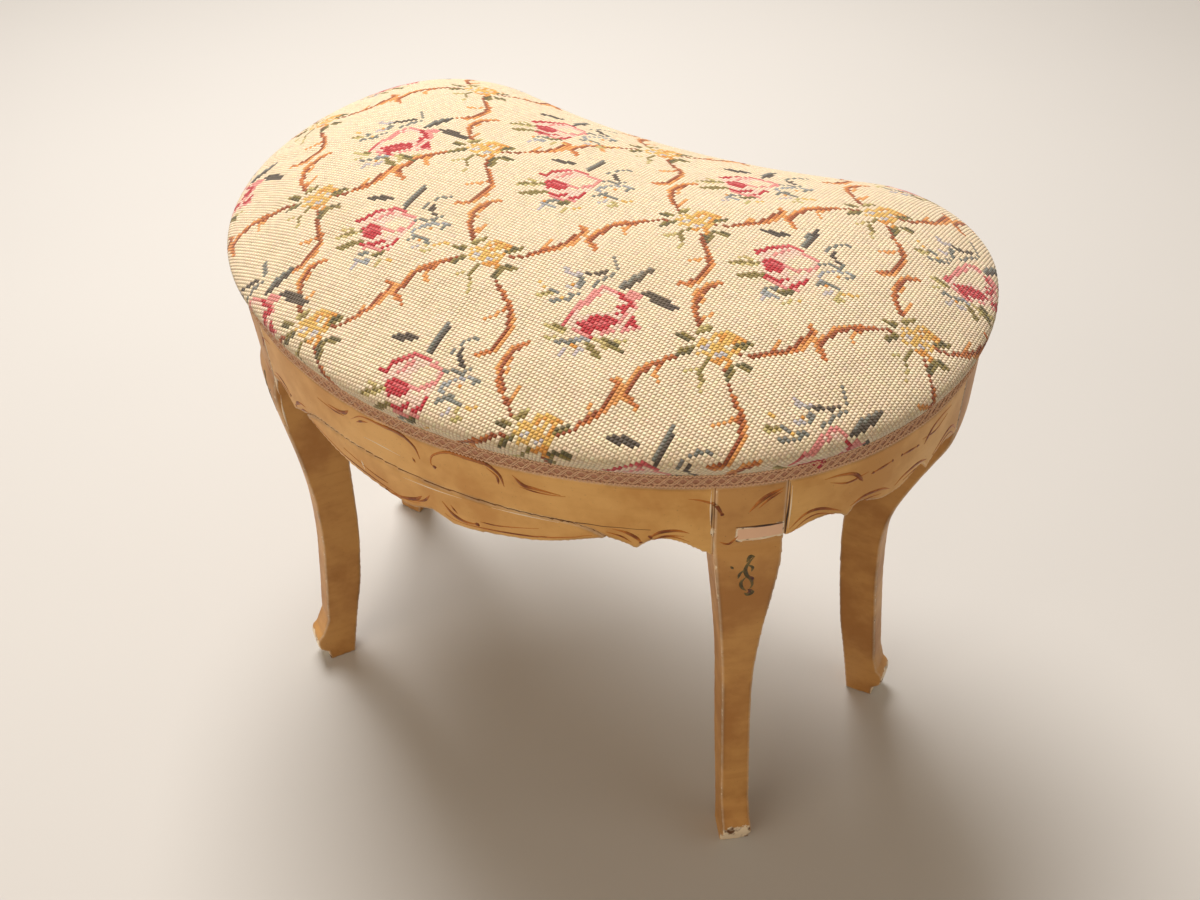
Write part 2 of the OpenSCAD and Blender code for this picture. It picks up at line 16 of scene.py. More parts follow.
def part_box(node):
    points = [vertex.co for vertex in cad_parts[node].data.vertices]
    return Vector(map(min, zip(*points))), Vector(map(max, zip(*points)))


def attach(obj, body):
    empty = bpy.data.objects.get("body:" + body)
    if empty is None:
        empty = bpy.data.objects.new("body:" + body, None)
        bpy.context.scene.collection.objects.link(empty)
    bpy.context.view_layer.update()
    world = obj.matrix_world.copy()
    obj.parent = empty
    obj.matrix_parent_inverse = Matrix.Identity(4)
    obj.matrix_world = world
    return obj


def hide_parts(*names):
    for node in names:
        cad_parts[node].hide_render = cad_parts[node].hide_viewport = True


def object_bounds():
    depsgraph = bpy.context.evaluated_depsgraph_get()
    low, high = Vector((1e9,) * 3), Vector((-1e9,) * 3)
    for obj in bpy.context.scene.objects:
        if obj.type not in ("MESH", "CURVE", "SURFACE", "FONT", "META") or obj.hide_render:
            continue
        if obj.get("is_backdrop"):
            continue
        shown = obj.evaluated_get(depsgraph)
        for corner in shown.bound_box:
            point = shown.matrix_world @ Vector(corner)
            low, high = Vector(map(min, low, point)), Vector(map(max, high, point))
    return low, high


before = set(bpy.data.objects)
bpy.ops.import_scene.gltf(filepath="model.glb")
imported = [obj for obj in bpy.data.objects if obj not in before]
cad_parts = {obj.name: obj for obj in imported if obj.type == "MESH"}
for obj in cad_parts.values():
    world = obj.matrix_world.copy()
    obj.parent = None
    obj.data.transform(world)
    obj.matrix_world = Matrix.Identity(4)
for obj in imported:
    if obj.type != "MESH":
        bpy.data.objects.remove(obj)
log = logging.getLogger("stool")
MM = 0.001
Colour = tuple[float, float, float]


def linear(colour: Colour) -> tuple[float, float, float, float]:
    """A colour as it shows on a screen, turned into the linear values that a shader takes."""
    return tuple(c / 12.92 if c <= 0.04045 else ((c + 0.055) / 1.055) ** 2.4 for c in colour) + (1.0,)


def way(angle: float) -> np.ndarray:
    """A unit step in the plan, at an angle in degrees from the front towards the right."""
    turn = math.radians(angle)
    return np.array([math.sin(turn), -math.cos(turn)])


def smooth_line(points: list, steps: int = 8) -> np.ndarray:
    """Runs a smooth curve through points.

    Args:
        points: The points, of any dimension.
        steps: Pieces between one point and the next.

    Returns:
        The points of the curve, one row each.
    """
    p = np.array(points, float)
    p = np.vstack([2 * p[0] - p[1], p, 2 * p[-1] - p[-2]])
    rows = []
    for a, b, c, d in zip(p[:-3], p[1:-2], p[2:-1], p[3:]):
        for t in np.arange(steps) / steps:
            rows.append(0.5 * (2 * b + (c - a) * t + (2 * a - 5 * b + 4 * c - d) * t * t
                               + (3 * b - a - 3 * c + d) * t ** 3))
    return np.array(rows + [p[-2]])


# The plan of the seat


@dataclass(frozen=True)
class SeatPlan:
    """The kidney outline of the rails: four arcs on each side of the middle, in metres."""

    front_r: float = 0.322
    front_half_angle: float = 30.0
    side_r: float = 0.1875
    side_end_angle: float = 112.0
    lobe_r: float = 0.093
    hollow_r: float = 0.485

    def arcs(self) -> list:
        """Centre, radius, first angle, last angle and bulge of the right half's arcs, from the front.

        Returns:
            One row for each arc.
        """
        depth = (self.front_r - (self.front_r - self.side_r) * math.cos(math.radians(self.front_half_angle))
                 - (self.side_r - self.lobe_r) * math.cos(math.radians(self.side_end_angle)))
        front = np.array([0.0, self.front_r - (depth + self.lobe_r) / 2])
        side = front + (self.front_r - self.side_r) * way(self.front_half_angle)
        lobe = side + (self.side_r - self.lobe_r) * way(self.side_end_angle)
        reach = self.hollow_r + self.lobe_r
        hollow = np.array([0.0, lobe[1] + math.sqrt(reach ** 2 - lobe[0] ** 2)])
        turn = math.degrees(math.asin(lobe[0] / reach))
        return [(front, self.front_r, 0.0, self.front_half_angle, 1),
                (side, self.side_r, self.front_half_angle, self.side_end_angle, 1),
                (lobe, self.lobe_r, self.side_end_angle, 180 + turn, 1),
                (hollow, self.hollow_r, turn, 0.0, -1)]

    def half_run(self) -> float:
        """Length of the right half of the outline."""
        return sum(r * math.radians(abs(b - a)) for _, r, a, b, _ in self.arcs())

    def at(self, run: float) -> tuple[np.ndarray, np.ndarray]:
        """A point of the outline and its outward direction.

        Args:
            run: Distance along the outline from the front's middle, negative to the left.

        Returns:
            The point and the outward unit step.
        """
        half = self.half_run()
        run = (run + half) % (2 * half) - half
        left, rest = run < 0, abs(run)
        arcs = self.arcs()
        for k, (centre, radius, start, end, bulge) in enumerate(arcs):
            length = radius * math.radians(abs(end - start))
            if rest <= length or k == len(arcs) - 1:
                angle = start + (end - start) * rest / length
                point, out = centre + radius * way(angle), bulge * way(angle)
                flip = np.array([-1.0, 1.0]) if left else np.array([1.0, 1.0])
                return point * flip, out * flip
            rest -= length

    def inset_of(self, points: np.ndarray) -> tuple[np.ndarray, np.ndarray]:
        """How far points lie inside the outline.

        Args:
            points: Plan points, one row each.

        Returns:
            The inset of each, negative outside, and the outward step of the nearest place.
        """
        folded = np.c_[np.abs(points[:, 0]), points[:, 1]]
        best = np.full(len(points), 9.0)
        outward = np.tile([0.0, -1.0], (len(points), 1))
        for centre, radius, start, end, bulge in self.arcs():
            rel = folded - centre
            far = np.maximum(np.hypot(rel[:, 0], rel[:, 1]), 1e-9)
            angle = np.degrees(np.arctan2(rel[:, 0], -rel[:, 1]))
            angle = np.where(angle < -90, angle + 360, angle)
            low, high = min(start, end) - 1e-6, max(start, end) + 1e-6
            gap = bulge * (radius - far)
            take = (angle >= low) & (angle <= high) & (np.abs(gap) < np.abs(best))
            best = np.where(take, gap, best)
            outward = np.where(take[:, None], bulge * rel / far[:, None], outward)
        outward[:, 0] *= np.where(points[:, 0] < 0, -1, 1)
        return best, outward


PLAN = SeatPlan()


# Small helpers for meshes


def only(obj: bpy.types.Object) -> bpy.types.Object:
    """Deselects everything, then selects one object and makes it the active one."""
    bpy.ops.object.select_all(action="DESELECT")
    obj.select_set(True)
    bpy.context.view_layer.objects.active = obj
    return obj


def new_piece(name: str, verts: np.ndarray, faces: list) -> bpy.types.Object:
    """Makes a mesh piece from points in metres and faces, and links it to the scene.

    Args:
        name: The piece's name.
        verts: Its points, one row each.
        faces: Its faces, by the points' numbers.

    Returns:
        The piece.
    """
    mesh = bpy.data.meshes.new(name)
    mesh.from_pydata([tuple(map(float, v)) for v in verts], [], [tuple(map(int, f)) for f in faces])
    mesh.validate()
    piece = bpy.data.objects.new(name, mesh)
    bpy.context.scene.collection.objects.link(piece)
    return piece


def outwards(piece: bpy.types.Object) -> bpy.types.Object:
    """Turns every face of a closed piece outwards, by the edit-mode operator.

    Args:
        piece: The closed piece.

    Returns:
        The same piece.
    """
    only(piece)
    bpy.ops.object.mode_set(mode="EDIT")
    bpy.ops.mesh.select_all(action="SELECT")
    bpy.ops.mesh.normals_make_consistent(inside=False)
    bpy.ops.object.mode_set(mode="OBJECT")
    return piece


def smoothed(piece: bpy.types.Object, angle: float = 180.0) -> bpy.types.Object:
    """Shades a piece smoothly, keeping edges sharper than the angle.

    Args:
        piece: The piece.
        angle: The sharpest turn that is smoothed, in degrees.

    Returns:
        The same piece.
    """
    only(piece)
    if angle >= 180:
        bpy.ops.object.shade_smooth()
    else:
        bpy.ops.object.shade_smooth_by_angle(angle=math.radians(angle))
    return piece


def finish_modifier(piece: bpy.types.Object, kind: str, **settings: object) -> None:
    """Adds a modifier with its settings and applies it."""
    only(piece)
    modifier = piece.modifiers.new(kind.lower(), kind)
    for key, value in settings.items():
        setattr(modifier, key, value)
    bpy.ops.object.modifier_apply(modifier=modifier.name)


def points_of(piece: bpy.types.Object) -> np.ndarray:
    """The piece's points, one row each."""
    flat = np.empty(len(piece.data.vertices) * 3, np.float32)
    piece.data.vertices.foreach_get("co", flat)
    return flat.reshape(-1, 3).astype(float)


def set_points(piece: bpy.types.Object, points: np.ndarray) -> None:
    """Puts the piece's points at new places."""
    piece.data.vertices.foreach_set("co", points.astype(np.float32).ravel())
    piece.data.update()


def tree_of(rows: list) -> KDTree:
    """A search tree over points, numbered in their order."""
    tree = KDTree(max(1, len(rows)))
    for k, row in enumerate(rows):
        tree.insert(row, k)
    tree.balance()
    return tree


def ring_faces(rings: int, corners: int, base: int = 0, closed: bool = True) -> list:
    """Faces between rings of points that follow each other, back to the first ring where closed."""
    faces = []
    for k in range(rings if closed else rings - 1):
        a, b = base + corners * k, base + corners * ((k + 1) % rings)
        faces += [(a + i, a + (i + 1) % corners, b + (i + 1) % corners, b + i) for i in range(corners)]
    return faces


def cut_grid(inside: np.ndarray) -> tuple[np.ndarray, np.ndarray, np.ndarray]:
    """Keeps the cells of a grid that have all four corners inside.

    Args:
        inside: Whether each point of the grid lies inside.

    Returns:
        The kept cells, how many of them use each point, and their faces by the used points' numbers.
    """
    keep = inside[:-1, :-1] & inside[1:, :-1] & inside[:-1, 1:] & inside[1:, 1:]
    uses = np.zeros(inside.shape, int)
    for down, right in ((0, 0), (1, 0), (0, 1), (1, 1)):
        uses[down:down + keep.shape[0], right:right + keep.shape[1]] += keep
    number = -np.ones(inside.shape, int)
    number[uses > 0] = np.arange((uses > 0).sum())
    r, c = np.nonzero(keep)
    return keep, uses, np.c_[number[r, c], number[r, c + 1], number[r + 1, c + 1], number[r + 1, c]]


def lay_threads(piece: bpy.types.Object, rows: list) -> None:
    """Gives a woven piece its UV map, counted in threads at each point."""
    uv = piece.data.uv_layers.new(name="threads")
    for loop in piece.data.loops:
        uv.data[loop.index].uv = rows[loop.vertex_index]


def dress(piece: bpy.types.Object, material: bpy.types.Material,
          node: str = "") -> bpy.types.Object:
    """Finishes a piece of the one body.

    Args:
        piece: The piece.
        material: Its material.
        node: The frame's node that it stands for, if any.

    Returns:
        The piece.
    """
    piece.data.materials.append(material)
    if node:
        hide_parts(node)
    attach(piece, "root")
    return piece


def mark(piece: bpy.types.Object, name: str, values: np.ndarray) -> None:
    """Stores one number for each point of a piece, for its material to read."""
    layer = piece.data.attributes.new(name, "FLOAT", "POINT")
    layer.data.foreach_set("value", np.asarray(values, np.float32))


def merged_copy(node: str, name: str) -> bpy.types.Object:
    """A copy of a CAD node's mesh as a piece of its own, its loose triangles merged.

    Args:
        node: The frame's node.
        name: The new piece's name.

    Returns:
        The piece.
    """
    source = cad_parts[node]
    piece = bpy.data.objects.new(name, source.data.copy())
    bpy.context.scene.collection.objects.link(piece)
    piece.data.materials.clear()
    for key in [a.name for a in piece.data.uv_layers]:
        piece.data.uv_layers.remove(piece.data.uv_layers[key])
    only(piece)
    bpy.ops.object.mode_set(mode="EDIT")
    bpy.ops.mesh.select_all(action="SELECT")
    bpy.ops.mesh.remove_doubles(threshold=1e-5)
    bpy.ops.object.mode_set(mode="OBJECT")
    return piece


# Shader wiring


class Wiring:
    """Adds shader nodes to one tree and joins them, so that a material reads like a recipe."""

    def __init__(self, tree: bpy.types.NodeTree) -> None:
        """Keeps the tree that the nodes go into."""
        self.tree = tree

    def node(self, kind: str, **settings: object) -> bpy.types.Node:
        """Adds a node and sets its properties."""
        made = self.tree.nodes.new(kind)
        for key, value in settings.items():
            setattr(made, key, value)
        return made

    def put(self, socket: bpy.types.NodeSocket, value: object) -> None:
        """Joins a socket to another one's output, or writes a plain value into it.

        Args:
            socket: The input.
            value: Another node's output, a colour or a number.
        """
        if isinstance(value, bpy.types.NodeSocket):
            self.tree.links.new(value, socket)
        elif isinstance(value, tuple) and len(value) == 3 and socket.type == "RGBA":
            socket.default_value = linear(value)
        else:
            socket.default_value = value

    def math(self, operation: str, a: object, b: object = 0.0, c: object = 0.0,
             clamp: bool = False) -> bpy.types.NodeSocket:
        """One step of arithmetic; gives its output."""
        made = self.node("ShaderNodeMath", operation=operation, use_clamp=clamp)
        for socket, value in zip(made.inputs, (a, b, c)):
            self.put(socket, value)
        return made.outputs[0]

    def vector(self, operation: str, a: object, b: object) -> bpy.types.NodeSocket:
        """One step of vector arithmetic; gives its output."""
        made = self.node("ShaderNodeVectorMath", operation=operation)
        self.put(made.inputs[0], a)
        self.put(made.inputs[1], b)
        return made.outputs[0]

    def blend(self, share: object, a: object, b: object, kind: str = "MIX") -> bpy.types.NodeSocket:
        """Mixes two colours."""
        made = self.node("ShaderNodeMix", data_type="RGBA", blend_type=kind)
        self.put(made.inputs[0], share)
        self.put(made.inputs[6], a)
        self.put(made.inputs[7], b)
        return made.outputs[2]

    def noise(self, vector: object, scale: float, detail: float = 3.0, rough: float = 0.55,
              stretch: tuple[float, float, float] | None = None) -> bpy.types.NodeSocket:
        """A cloud pattern from 0 to 1, stretched along axes where asked.

        Args:
            vector: Where the pattern is read.
            scale: How fine it is.
            detail: How many layers it has.
            rough: How strong the finer layers are.
            stretch: Factors along the axes, if any.

        Returns:
            The pattern's output.
        """
        if stretch:
            vector = self.vector("MULTIPLY", vector, stretch)
        made = self.node("ShaderNodeTexNoise")
        self.put(made.inputs["Vector"], vector)
        self.put(made.inputs["Scale"], scale)
        self.put(made.inputs["Detail"], detail)
        self.put(made.inputs["Roughness"], rough)
        return made.outputs[0]

    def step(self, value: object, low: object, high: object) -> bpy.types.NodeSocket:
        """Rises smoothly from 0 at low to 1 at high."""
        made = self.node("ShaderNodeMapRange", interpolation_type="SMOOTHSTEP")
        for socket, item in zip(made.inputs, (value, low, high, 0.0, 1.0)):
            self.put(socket, item)
        return made.outputs[0]

    def place(self) -> bpy.types.NodeSocket:
        """Object coordinates, in metres."""
        return self.node("ShaderNodeTexCoord").outputs["Object"]

    def marked(self, name: str) -> bpy.types.NodeSocket:
        """A number that mark() stored on the piece."""
        return self.node("ShaderNodeAttribute", attribute_name=name).outputs["Fac"]

    def relief(self, height: object, depth: float, strength: float = 1.0) -> bpy.types.NodeSocket:
        """Turns a height from 0 to 1 into a bumped normal of that depth in metres."""
        made = self.node("ShaderNodeBump")
        self.put(made.inputs["Strength"], strength)
        self.put(made.inputs["Distance"], depth)
        self.put(made.inputs["Height"], height)
        return made.outputs[0]

    def group(self, made: bpy.types.NodeTree, **values: object) -> bpy.types.Node:
        """Places a shared effect and fills its inputs."""
        placed = self.node("ShaderNodeGroup")
        placed.node_tree = made
        for key, value in values.items():
            self.put(placed.inputs[key], value)
        return placed


def open_group(name: str, inputs: dict[str, str], outputs: dict[str, str]) -> tuple:
    """Starts a shader node group.

    Args:
        name: What the group is called.
        inputs: Socket kind for each input's name.
        outputs: Socket kind for each output's name.

    Returns:
        The group, its wiring, its inputs' sockets and its output node.
    """
    group = bpy.data.node_groups.new(name, "ShaderNodeTree")
    for title, kind in inputs.items():
        group.interface.new_socket(name=title, in_out="INPUT", socket_type=kind)
    for title, kind in outputs.items():
        group.interface.new_socket(name=title, in_out="OUTPUT", socket_type=kind)
    wires = Wiring(group)
    return group, wires, wires.node("NodeGroupInput").outputs, wires.node("NodeGroupOutput")


def open_material(name: str, sheen: float = 0.0, coat: float = 0.0,
                  specular: float = 0.5) -> tuple[bpy.types.Material, Wiring, bpy.types.Node]:
    """Starts a material with one Principled shader, whose fixed values are set on its own sockets.

    Args:
        name: The material's name.
        sheen: Its sheen.
        coat: Its clear coat.
        specular: Its plain shine.

    Returns:
        The material, its wiring and its shader.
    """
    made = bpy.data.materials.new(name)
    made.use_nodes = True
    shader = made.node_tree.nodes["Principled BSDF"]
    shader.inputs["Sheen Weight"].default_value = sheen
    shader.inputs["Sheen Roughness"].default_value = 0.6
    shader.inputs["Coat Weight"].default_value = coat
    shader.inputs["Coat Roughness"].default_value = 0.35
    shader.inputs["Specular IOR Level"].default_value = specular
    return made, Wiring(made.node_tree), shader


COLOUR, NUMBER, PLACE = "NodeSocketColor", "NodeSocketFloat", "NodeSocketVector"


class SharedEffects:
    """The effects that several finishes use: aged paint, wood grain and plain weave."""

    def __init__(self) -> None:
        """Builds each group once."""
        self.aged_paint = self._aged_paint()
        self.grain = self._grain()
        self.weave = self._weave()

    @staticmethod
    def _aged_paint() -> bpy.types.NodeTree:
        """Hand-laid paint that has mottled, gathered grime and worn off at edges and joints.

        Returns:
            The group.
        """
        group, w, given, out = open_group(
            "aged paint",
            {"Place": PLACE, "Paint": COLOUR, "Shade": COLOUR, "Gesso": COLOUR, "Wood": COLOUR,
             "Edge": NUMBER, "Joint": NUMBER, "Rub": NUMBER, "Chip": NUMBER},
            {"Colour": COLOUR, "Roughness": NUMBER, "Height": NUMBER})
        place = given["Place"]
        mottle = w.noise(place, 22.0, 4.0, 0.6)
        streak = w.noise(place, 60.0, 3.0, 0.6, (0.35, 0.35, 2.6))
        speck = w.noise(place, 900.0, 2.0, 0.5)
        fleck = w.noise(place, 260.0, 4.0, 0.7)
        colour = w.blend(w.step(mottle, 0.36, 0.66), given["Paint"], given["Shade"])
        colour = w.blend(w.math("MULTIPLY", w.step(streak, 0.45, 0.75), 0.3), colour, given["Shade"])
        dirt = w.math("MULTIPLY", w.step(speck, 0.66, 0.78), 0.45)
        colour = w.blend(dirt, colour, given["Wood"])
        near = w.math("SUBTRACT", 1.0, w.step(given["Edge"], 0.0, 0.0035))
        grime = w.math("MULTIPLY", near, w.math("MULTIPLY", w.step(mottle, 0.4, 0.62), 0.55))
        colour = w.blend(grime, colour, given["Wood"])
        # Pale line along every edge, blended towards gesso: partly paint rubbed thin, partly a painted
        # highlight where the edges catch the light.
        arris_highlight_and_rub = w.math("SUBTRACT", 1.0, w.step(given["Edge"], 0.0003, 0.0021))
        colour = w.blend(w.math("MULTIPLY", arris_highlight_and_rub, 0.4), colour, given["Gesso"])
        edge_wear = w.math("SUBTRACT", w.math("MULTIPLY", fleck, given["Rub"]),
                           w.math("MULTIPLY", given["Edge"], 260.0))
        joint_wear = w.math("SUBTRACT", w.math("MULTIPLY", fleck, 1.25),
                            w.math("MULTIPLY", given["Joint"], 430.0))
        worn = w.math("MAXIMUM", w.step(edge_wear, 0.36, 0.44), w.step(joint_wear, 0.5, 0.58))
        ragged = w.math("MULTIPLY", w.math("SUBTRACT", fleck, 0.5), 0.9)
        chipped = w.step(w.math("ADD", given["Chip"], ragged), 0.46, 0.54)
        worn = w.math("MAXIMUM", worn, chipped)
        ground = w.blend(w.step(w.noise(place, 150.0, 2.0), 0.5, 0.68), given["Gesso"], given["Wood"])
        ground = w.blend(w.step(given["Chip"], 0.66, 0.76), ground, (0.94, 0.78, 0.66))
        w.put(out.inputs["Colour"], w.blend(worn, colour, ground))
        rough = w.math("ADD", 0.42, w.math("MULTIPLY", mottle, 0.22))
        w.put(out.inputs["Roughness"], w.math("ADD", rough, w.math("MULTIPLY", worn, 0.3)))
        height = w.math("ADD", w.math("MULTIPLY", streak, 0.35), w.math("MULTIPLY", speck, 0.12))
        w.put(out.inputs["Height"], w.math("SUBTRACT", height, w.math("MULTIPLY", worn, 0.5)))
        return group

    @staticmethod
    def _grain() -> bpy.types.NodeTree:
        """Long wood grain with pores, along the axis that the stretch leaves short.

        Returns:
            The group.
        """
        group, w, given, out = open_group(
            "wood grain", {"Place": PLACE, "Light": COLOUR, "Dark": COLOUR},
            {"Colour": COLOUR, "Height": NUMBER})
        ring = w.noise(given["Place"], 30.0, 4.0, 0.6, (6.0, 6.0, 0.5))
        pore = w.noise(given["Place"], 300.0, 2.0, 0.5, (3.0, 3.0, 0.3))
        colour = w.blend(w.step(ring, 0.35, 0.68), given["Light"], given["Dark"])
        colour = w.blend(w.math("MULTIPLY", w.step(pore, 0.58, 0.7), 0.6), colour, given["Dark"])
        w.put(out.inputs["Colour"], colour)
        height = w.math("ADD", w.math("MULTIPLY", ring, 0.4), w.math("MULTIPLY", pore, 0.6))
        w.put(out.inputs["Height"], height)
        return group

    @staticmethod
    def _weave() -> bpy.types.NodeTree:
        """Plain weave: two families of round threads that pass over and under each other.

        Returns:
            The group.
        """
        group, w, given, out = open_group(
            "plain weave",
            {"Along": NUMBER, "Across": NUMBER, "Place": PLACE, "Light": COLOUR, "Dark": COLOUR},
            {"Colour": COLOUR, "Height": NUMBER, "Hole": NUMBER})
        warp = w.math("SINE", w.math("MULTIPLY", given["Along"], math.pi))
        weft = w.math("SINE", w.math("MULTIPLY", given["Across"], math.pi))
        over = w.math("MULTIPLY", warp, weft)
        over = w.math("ADD", w.math("MULTIPLY", over, 0.5), 0.5)
        a, b = w.math("ABSOLUTE", warp), w.math("ABSOLUTE", weft)
        height = w.math("ADD", w.math("MULTIPLY", a, over),
                        w.math("MULTIPLY", b, w.math("SUBTRACT", 1.0, over)))
        slub = w.noise(given["Place"], 420.0, 3.0, 0.6)
        # The colour darkens towards the hollows between threads: painted shade, varied by slub noise.
        shade = w.math("MULTIPLY", height, w.math("ADD", 0.7, w.math("MULTIPLY", slub, 0.6)))
        w.put(out.inputs["Colour"], w.blend(w.step(shade, 0.1, 0.85), given["Dark"], given["Light"]))
        w.put(out.inputs["Height"], height)
        w.put(out.inputs["Hole"], w.math("SUBTRACT", 1.0, w.step(w.math("MAXIMUM", a, b), 0.3, 0.55)))
        return group


# Finishes


@dataclass(frozen=True)
class PaintFinish:
    """Aged cream-ochre paint over gesso, bare wood where nobody sees it."""

    name: str
    paint: Colour = (0.89, 0.70, 0.41)
    shade: Colour = (0.80, 0.585, 0.30)
    gesso: Colour = (0.96, 0.90, 0.80)
    wood: Colour = (0.40, 0.26, 0.14)
    rub: float = 1.0

    def make(self, effects: SharedEffects) -> bpy.types.Material:
        """Builds the material from the shared effects.

        Args:
            effects: The shared groups.

        Returns:
            The material.
        """
        made, w, shader = open_material(self.name, coat=0.08, specular=0.4)
        place = w.place()
        painted = w.group(effects.aged_paint, Place=place, Paint=self.paint, Shade=self.shade,
                          Gesso=self.gesso, Wood=self.wood, Edge=w.marked("edge_gap"),
                          Joint=w.marked("joint_gap"), Rub=self.rub, Chip=w.marked("chip"))
        bare = w.group(effects.grain, Place=place, Light=(0.66, 0.50, 0.33), Dark=(0.45, 0.31, 0.19))
        inside = w.step(w.marked("bare"), 0.4, 0.6)
        w.put(shader.inputs["Base Color"], w.blend(inside, painted.outputs["Colour"], bare.outputs["Colour"]))
        rough = w.math("ADD", painted.outputs["Roughness"], w.math("MULTIPLY", inside, 0.25))
        w.put(shader.inputs["Roughness"], rough)
        w.put(shader.inputs["Normal"], w.relief(painted.outputs["Height"], 0.00045, 0.7))
        return made


@dataclass(frozen=True)
class BrushFinish:
    """Thin glaze of the painter's ornament, darker where the brush was lifted."""

    name: str
    thin: Colour
    full: Colour

    def make(self) -> bpy.types.Material:
        """Builds the material; it reads how loaded the brush was from the piece.

        Returns:
            The material.
        """
        made, w, shader = open_material(self.name, specular=0.4)
        place = w.place()
        load = w.marked("load")
        cloud = w.noise(place, 420.0, 3.0, 0.6)
        uneven = w.math("MULTIPLY", w.math("SUBTRACT", cloud, 0.5), 0.9)
        share = w.step(w.math("ADD", load, uneven), 0.15, 0.95)
        w.put(shader.inputs["Base Color"], w.blend(share, self.thin, self.full))
        w.put(shader.inputs["Roughness"], w.math("ADD", 0.36, w.math("MULTIPLY", cloud, 0.2)))
        worn = w.math("ADD", w.noise(place, 700.0, 2.0, 0.6), w.math("MULTIPLY", load, 0.25))
        w.put(shader.inputs["Alpha"], w.step(worn, 0.33, 0.43))
        return made


@dataclass(frozen=True)
class WoodFinish:
    """Bare beech of the hidden blocks and dowels."""

    name: str = "bare beech"

    def make(self, effects: SharedEffects) -> bpy.types.Material:
        """Builds the material from the shared grain.

        Args:
            effects: The shared groups.

        Returns:
            The material.
        """
        made, w, shader = open_material(self.name, specular=0.3)
        place = w.place()
        grain = w.group(effects.grain, Place=place, Light=(0.70, 0.53, 0.35), Dark=(0.50, 0.34, 0.2))
        w.put(shader.inputs["Base Color"], grain.outputs["Colour"])
        rough = w.math("ADD", 0.62, w.math("MULTIPLY", grain.outputs["Height"], 0.2))
        w.put(shader.inputs["Roughness"], rough)
        w.put(shader.inputs["Normal"], w.relief(grain.outputs["Height"], 0.0003, 0.6))
        return made


@dataclass(frozen=True)
class WovenFinish:
    """Jute webbing or hessian: a plain weave laid by the piece's own UV map, in threads."""

    name: str
    light: Colour
    dark: Colour
    stripe: Colour | None = None
    stripe_at: float = 0.0
    holes: bool = False

    def make(self, effects: SharedEffects) -> bpy.types.Material:
        """Builds the material from the shared weave.

        Args:
            effects: The shared groups.

        Returns:
            The material.
        """
        made, w, shader = open_material(self.name, sheen=0.15, specular=0.2)
        place = w.place()
        threads = w.node("ShaderNodeSeparateXYZ")
        w.put(threads.inputs[0], w.node("ShaderNodeUVMap", uv_map="threads").outputs[0])
        weave = w.group(effects.weave, Along=threads.outputs[0], Across=threads.outputs[1], Place=place,
                        Light=self.light, Dark=self.dark)
        colour = weave.outputs["Colour"]
        if self.stripe:
            from_middle = w.math("ABSOLUTE", threads.outputs[1])
            off_stripe = w.math("ABSOLUTE", w.math("SUBTRACT", from_middle, self.stripe_at))
            band = w.math("SUBTRACT", 1.0, w.step(off_stripe, 1.2, 1.6))
            # In the stripe the lower threads turn near black: painted shade in the weave's hollows.
            colour = w.blend(w.math("MULTIPLY", band, 0.8), colour,
                             w.blend(weave.outputs["Height"], (0.2, 0.1, 0.06), self.stripe))
        age = w.noise(place, 9.0, 3.0)
        w.put(shader.inputs["Base Color"], w.blend(w.math("MULTIPLY", age, 0.5), colour, self.dark))
        w.put(shader.inputs["Roughness"], w.math("ADD", 0.8, w.math("MULTIPLY", age, 0.15)))
        w.put(shader.inputs["Normal"], w.relief(weave.outputs["Height"], 0.0006, 0.8))
        if self.holes:
            hole = w.math("MULTIPLY", weave.outputs["Hole"], 0.9)
            w.put(shader.inputs["Alpha"], w.math("SUBTRACT", 1.0, hole))
        return made


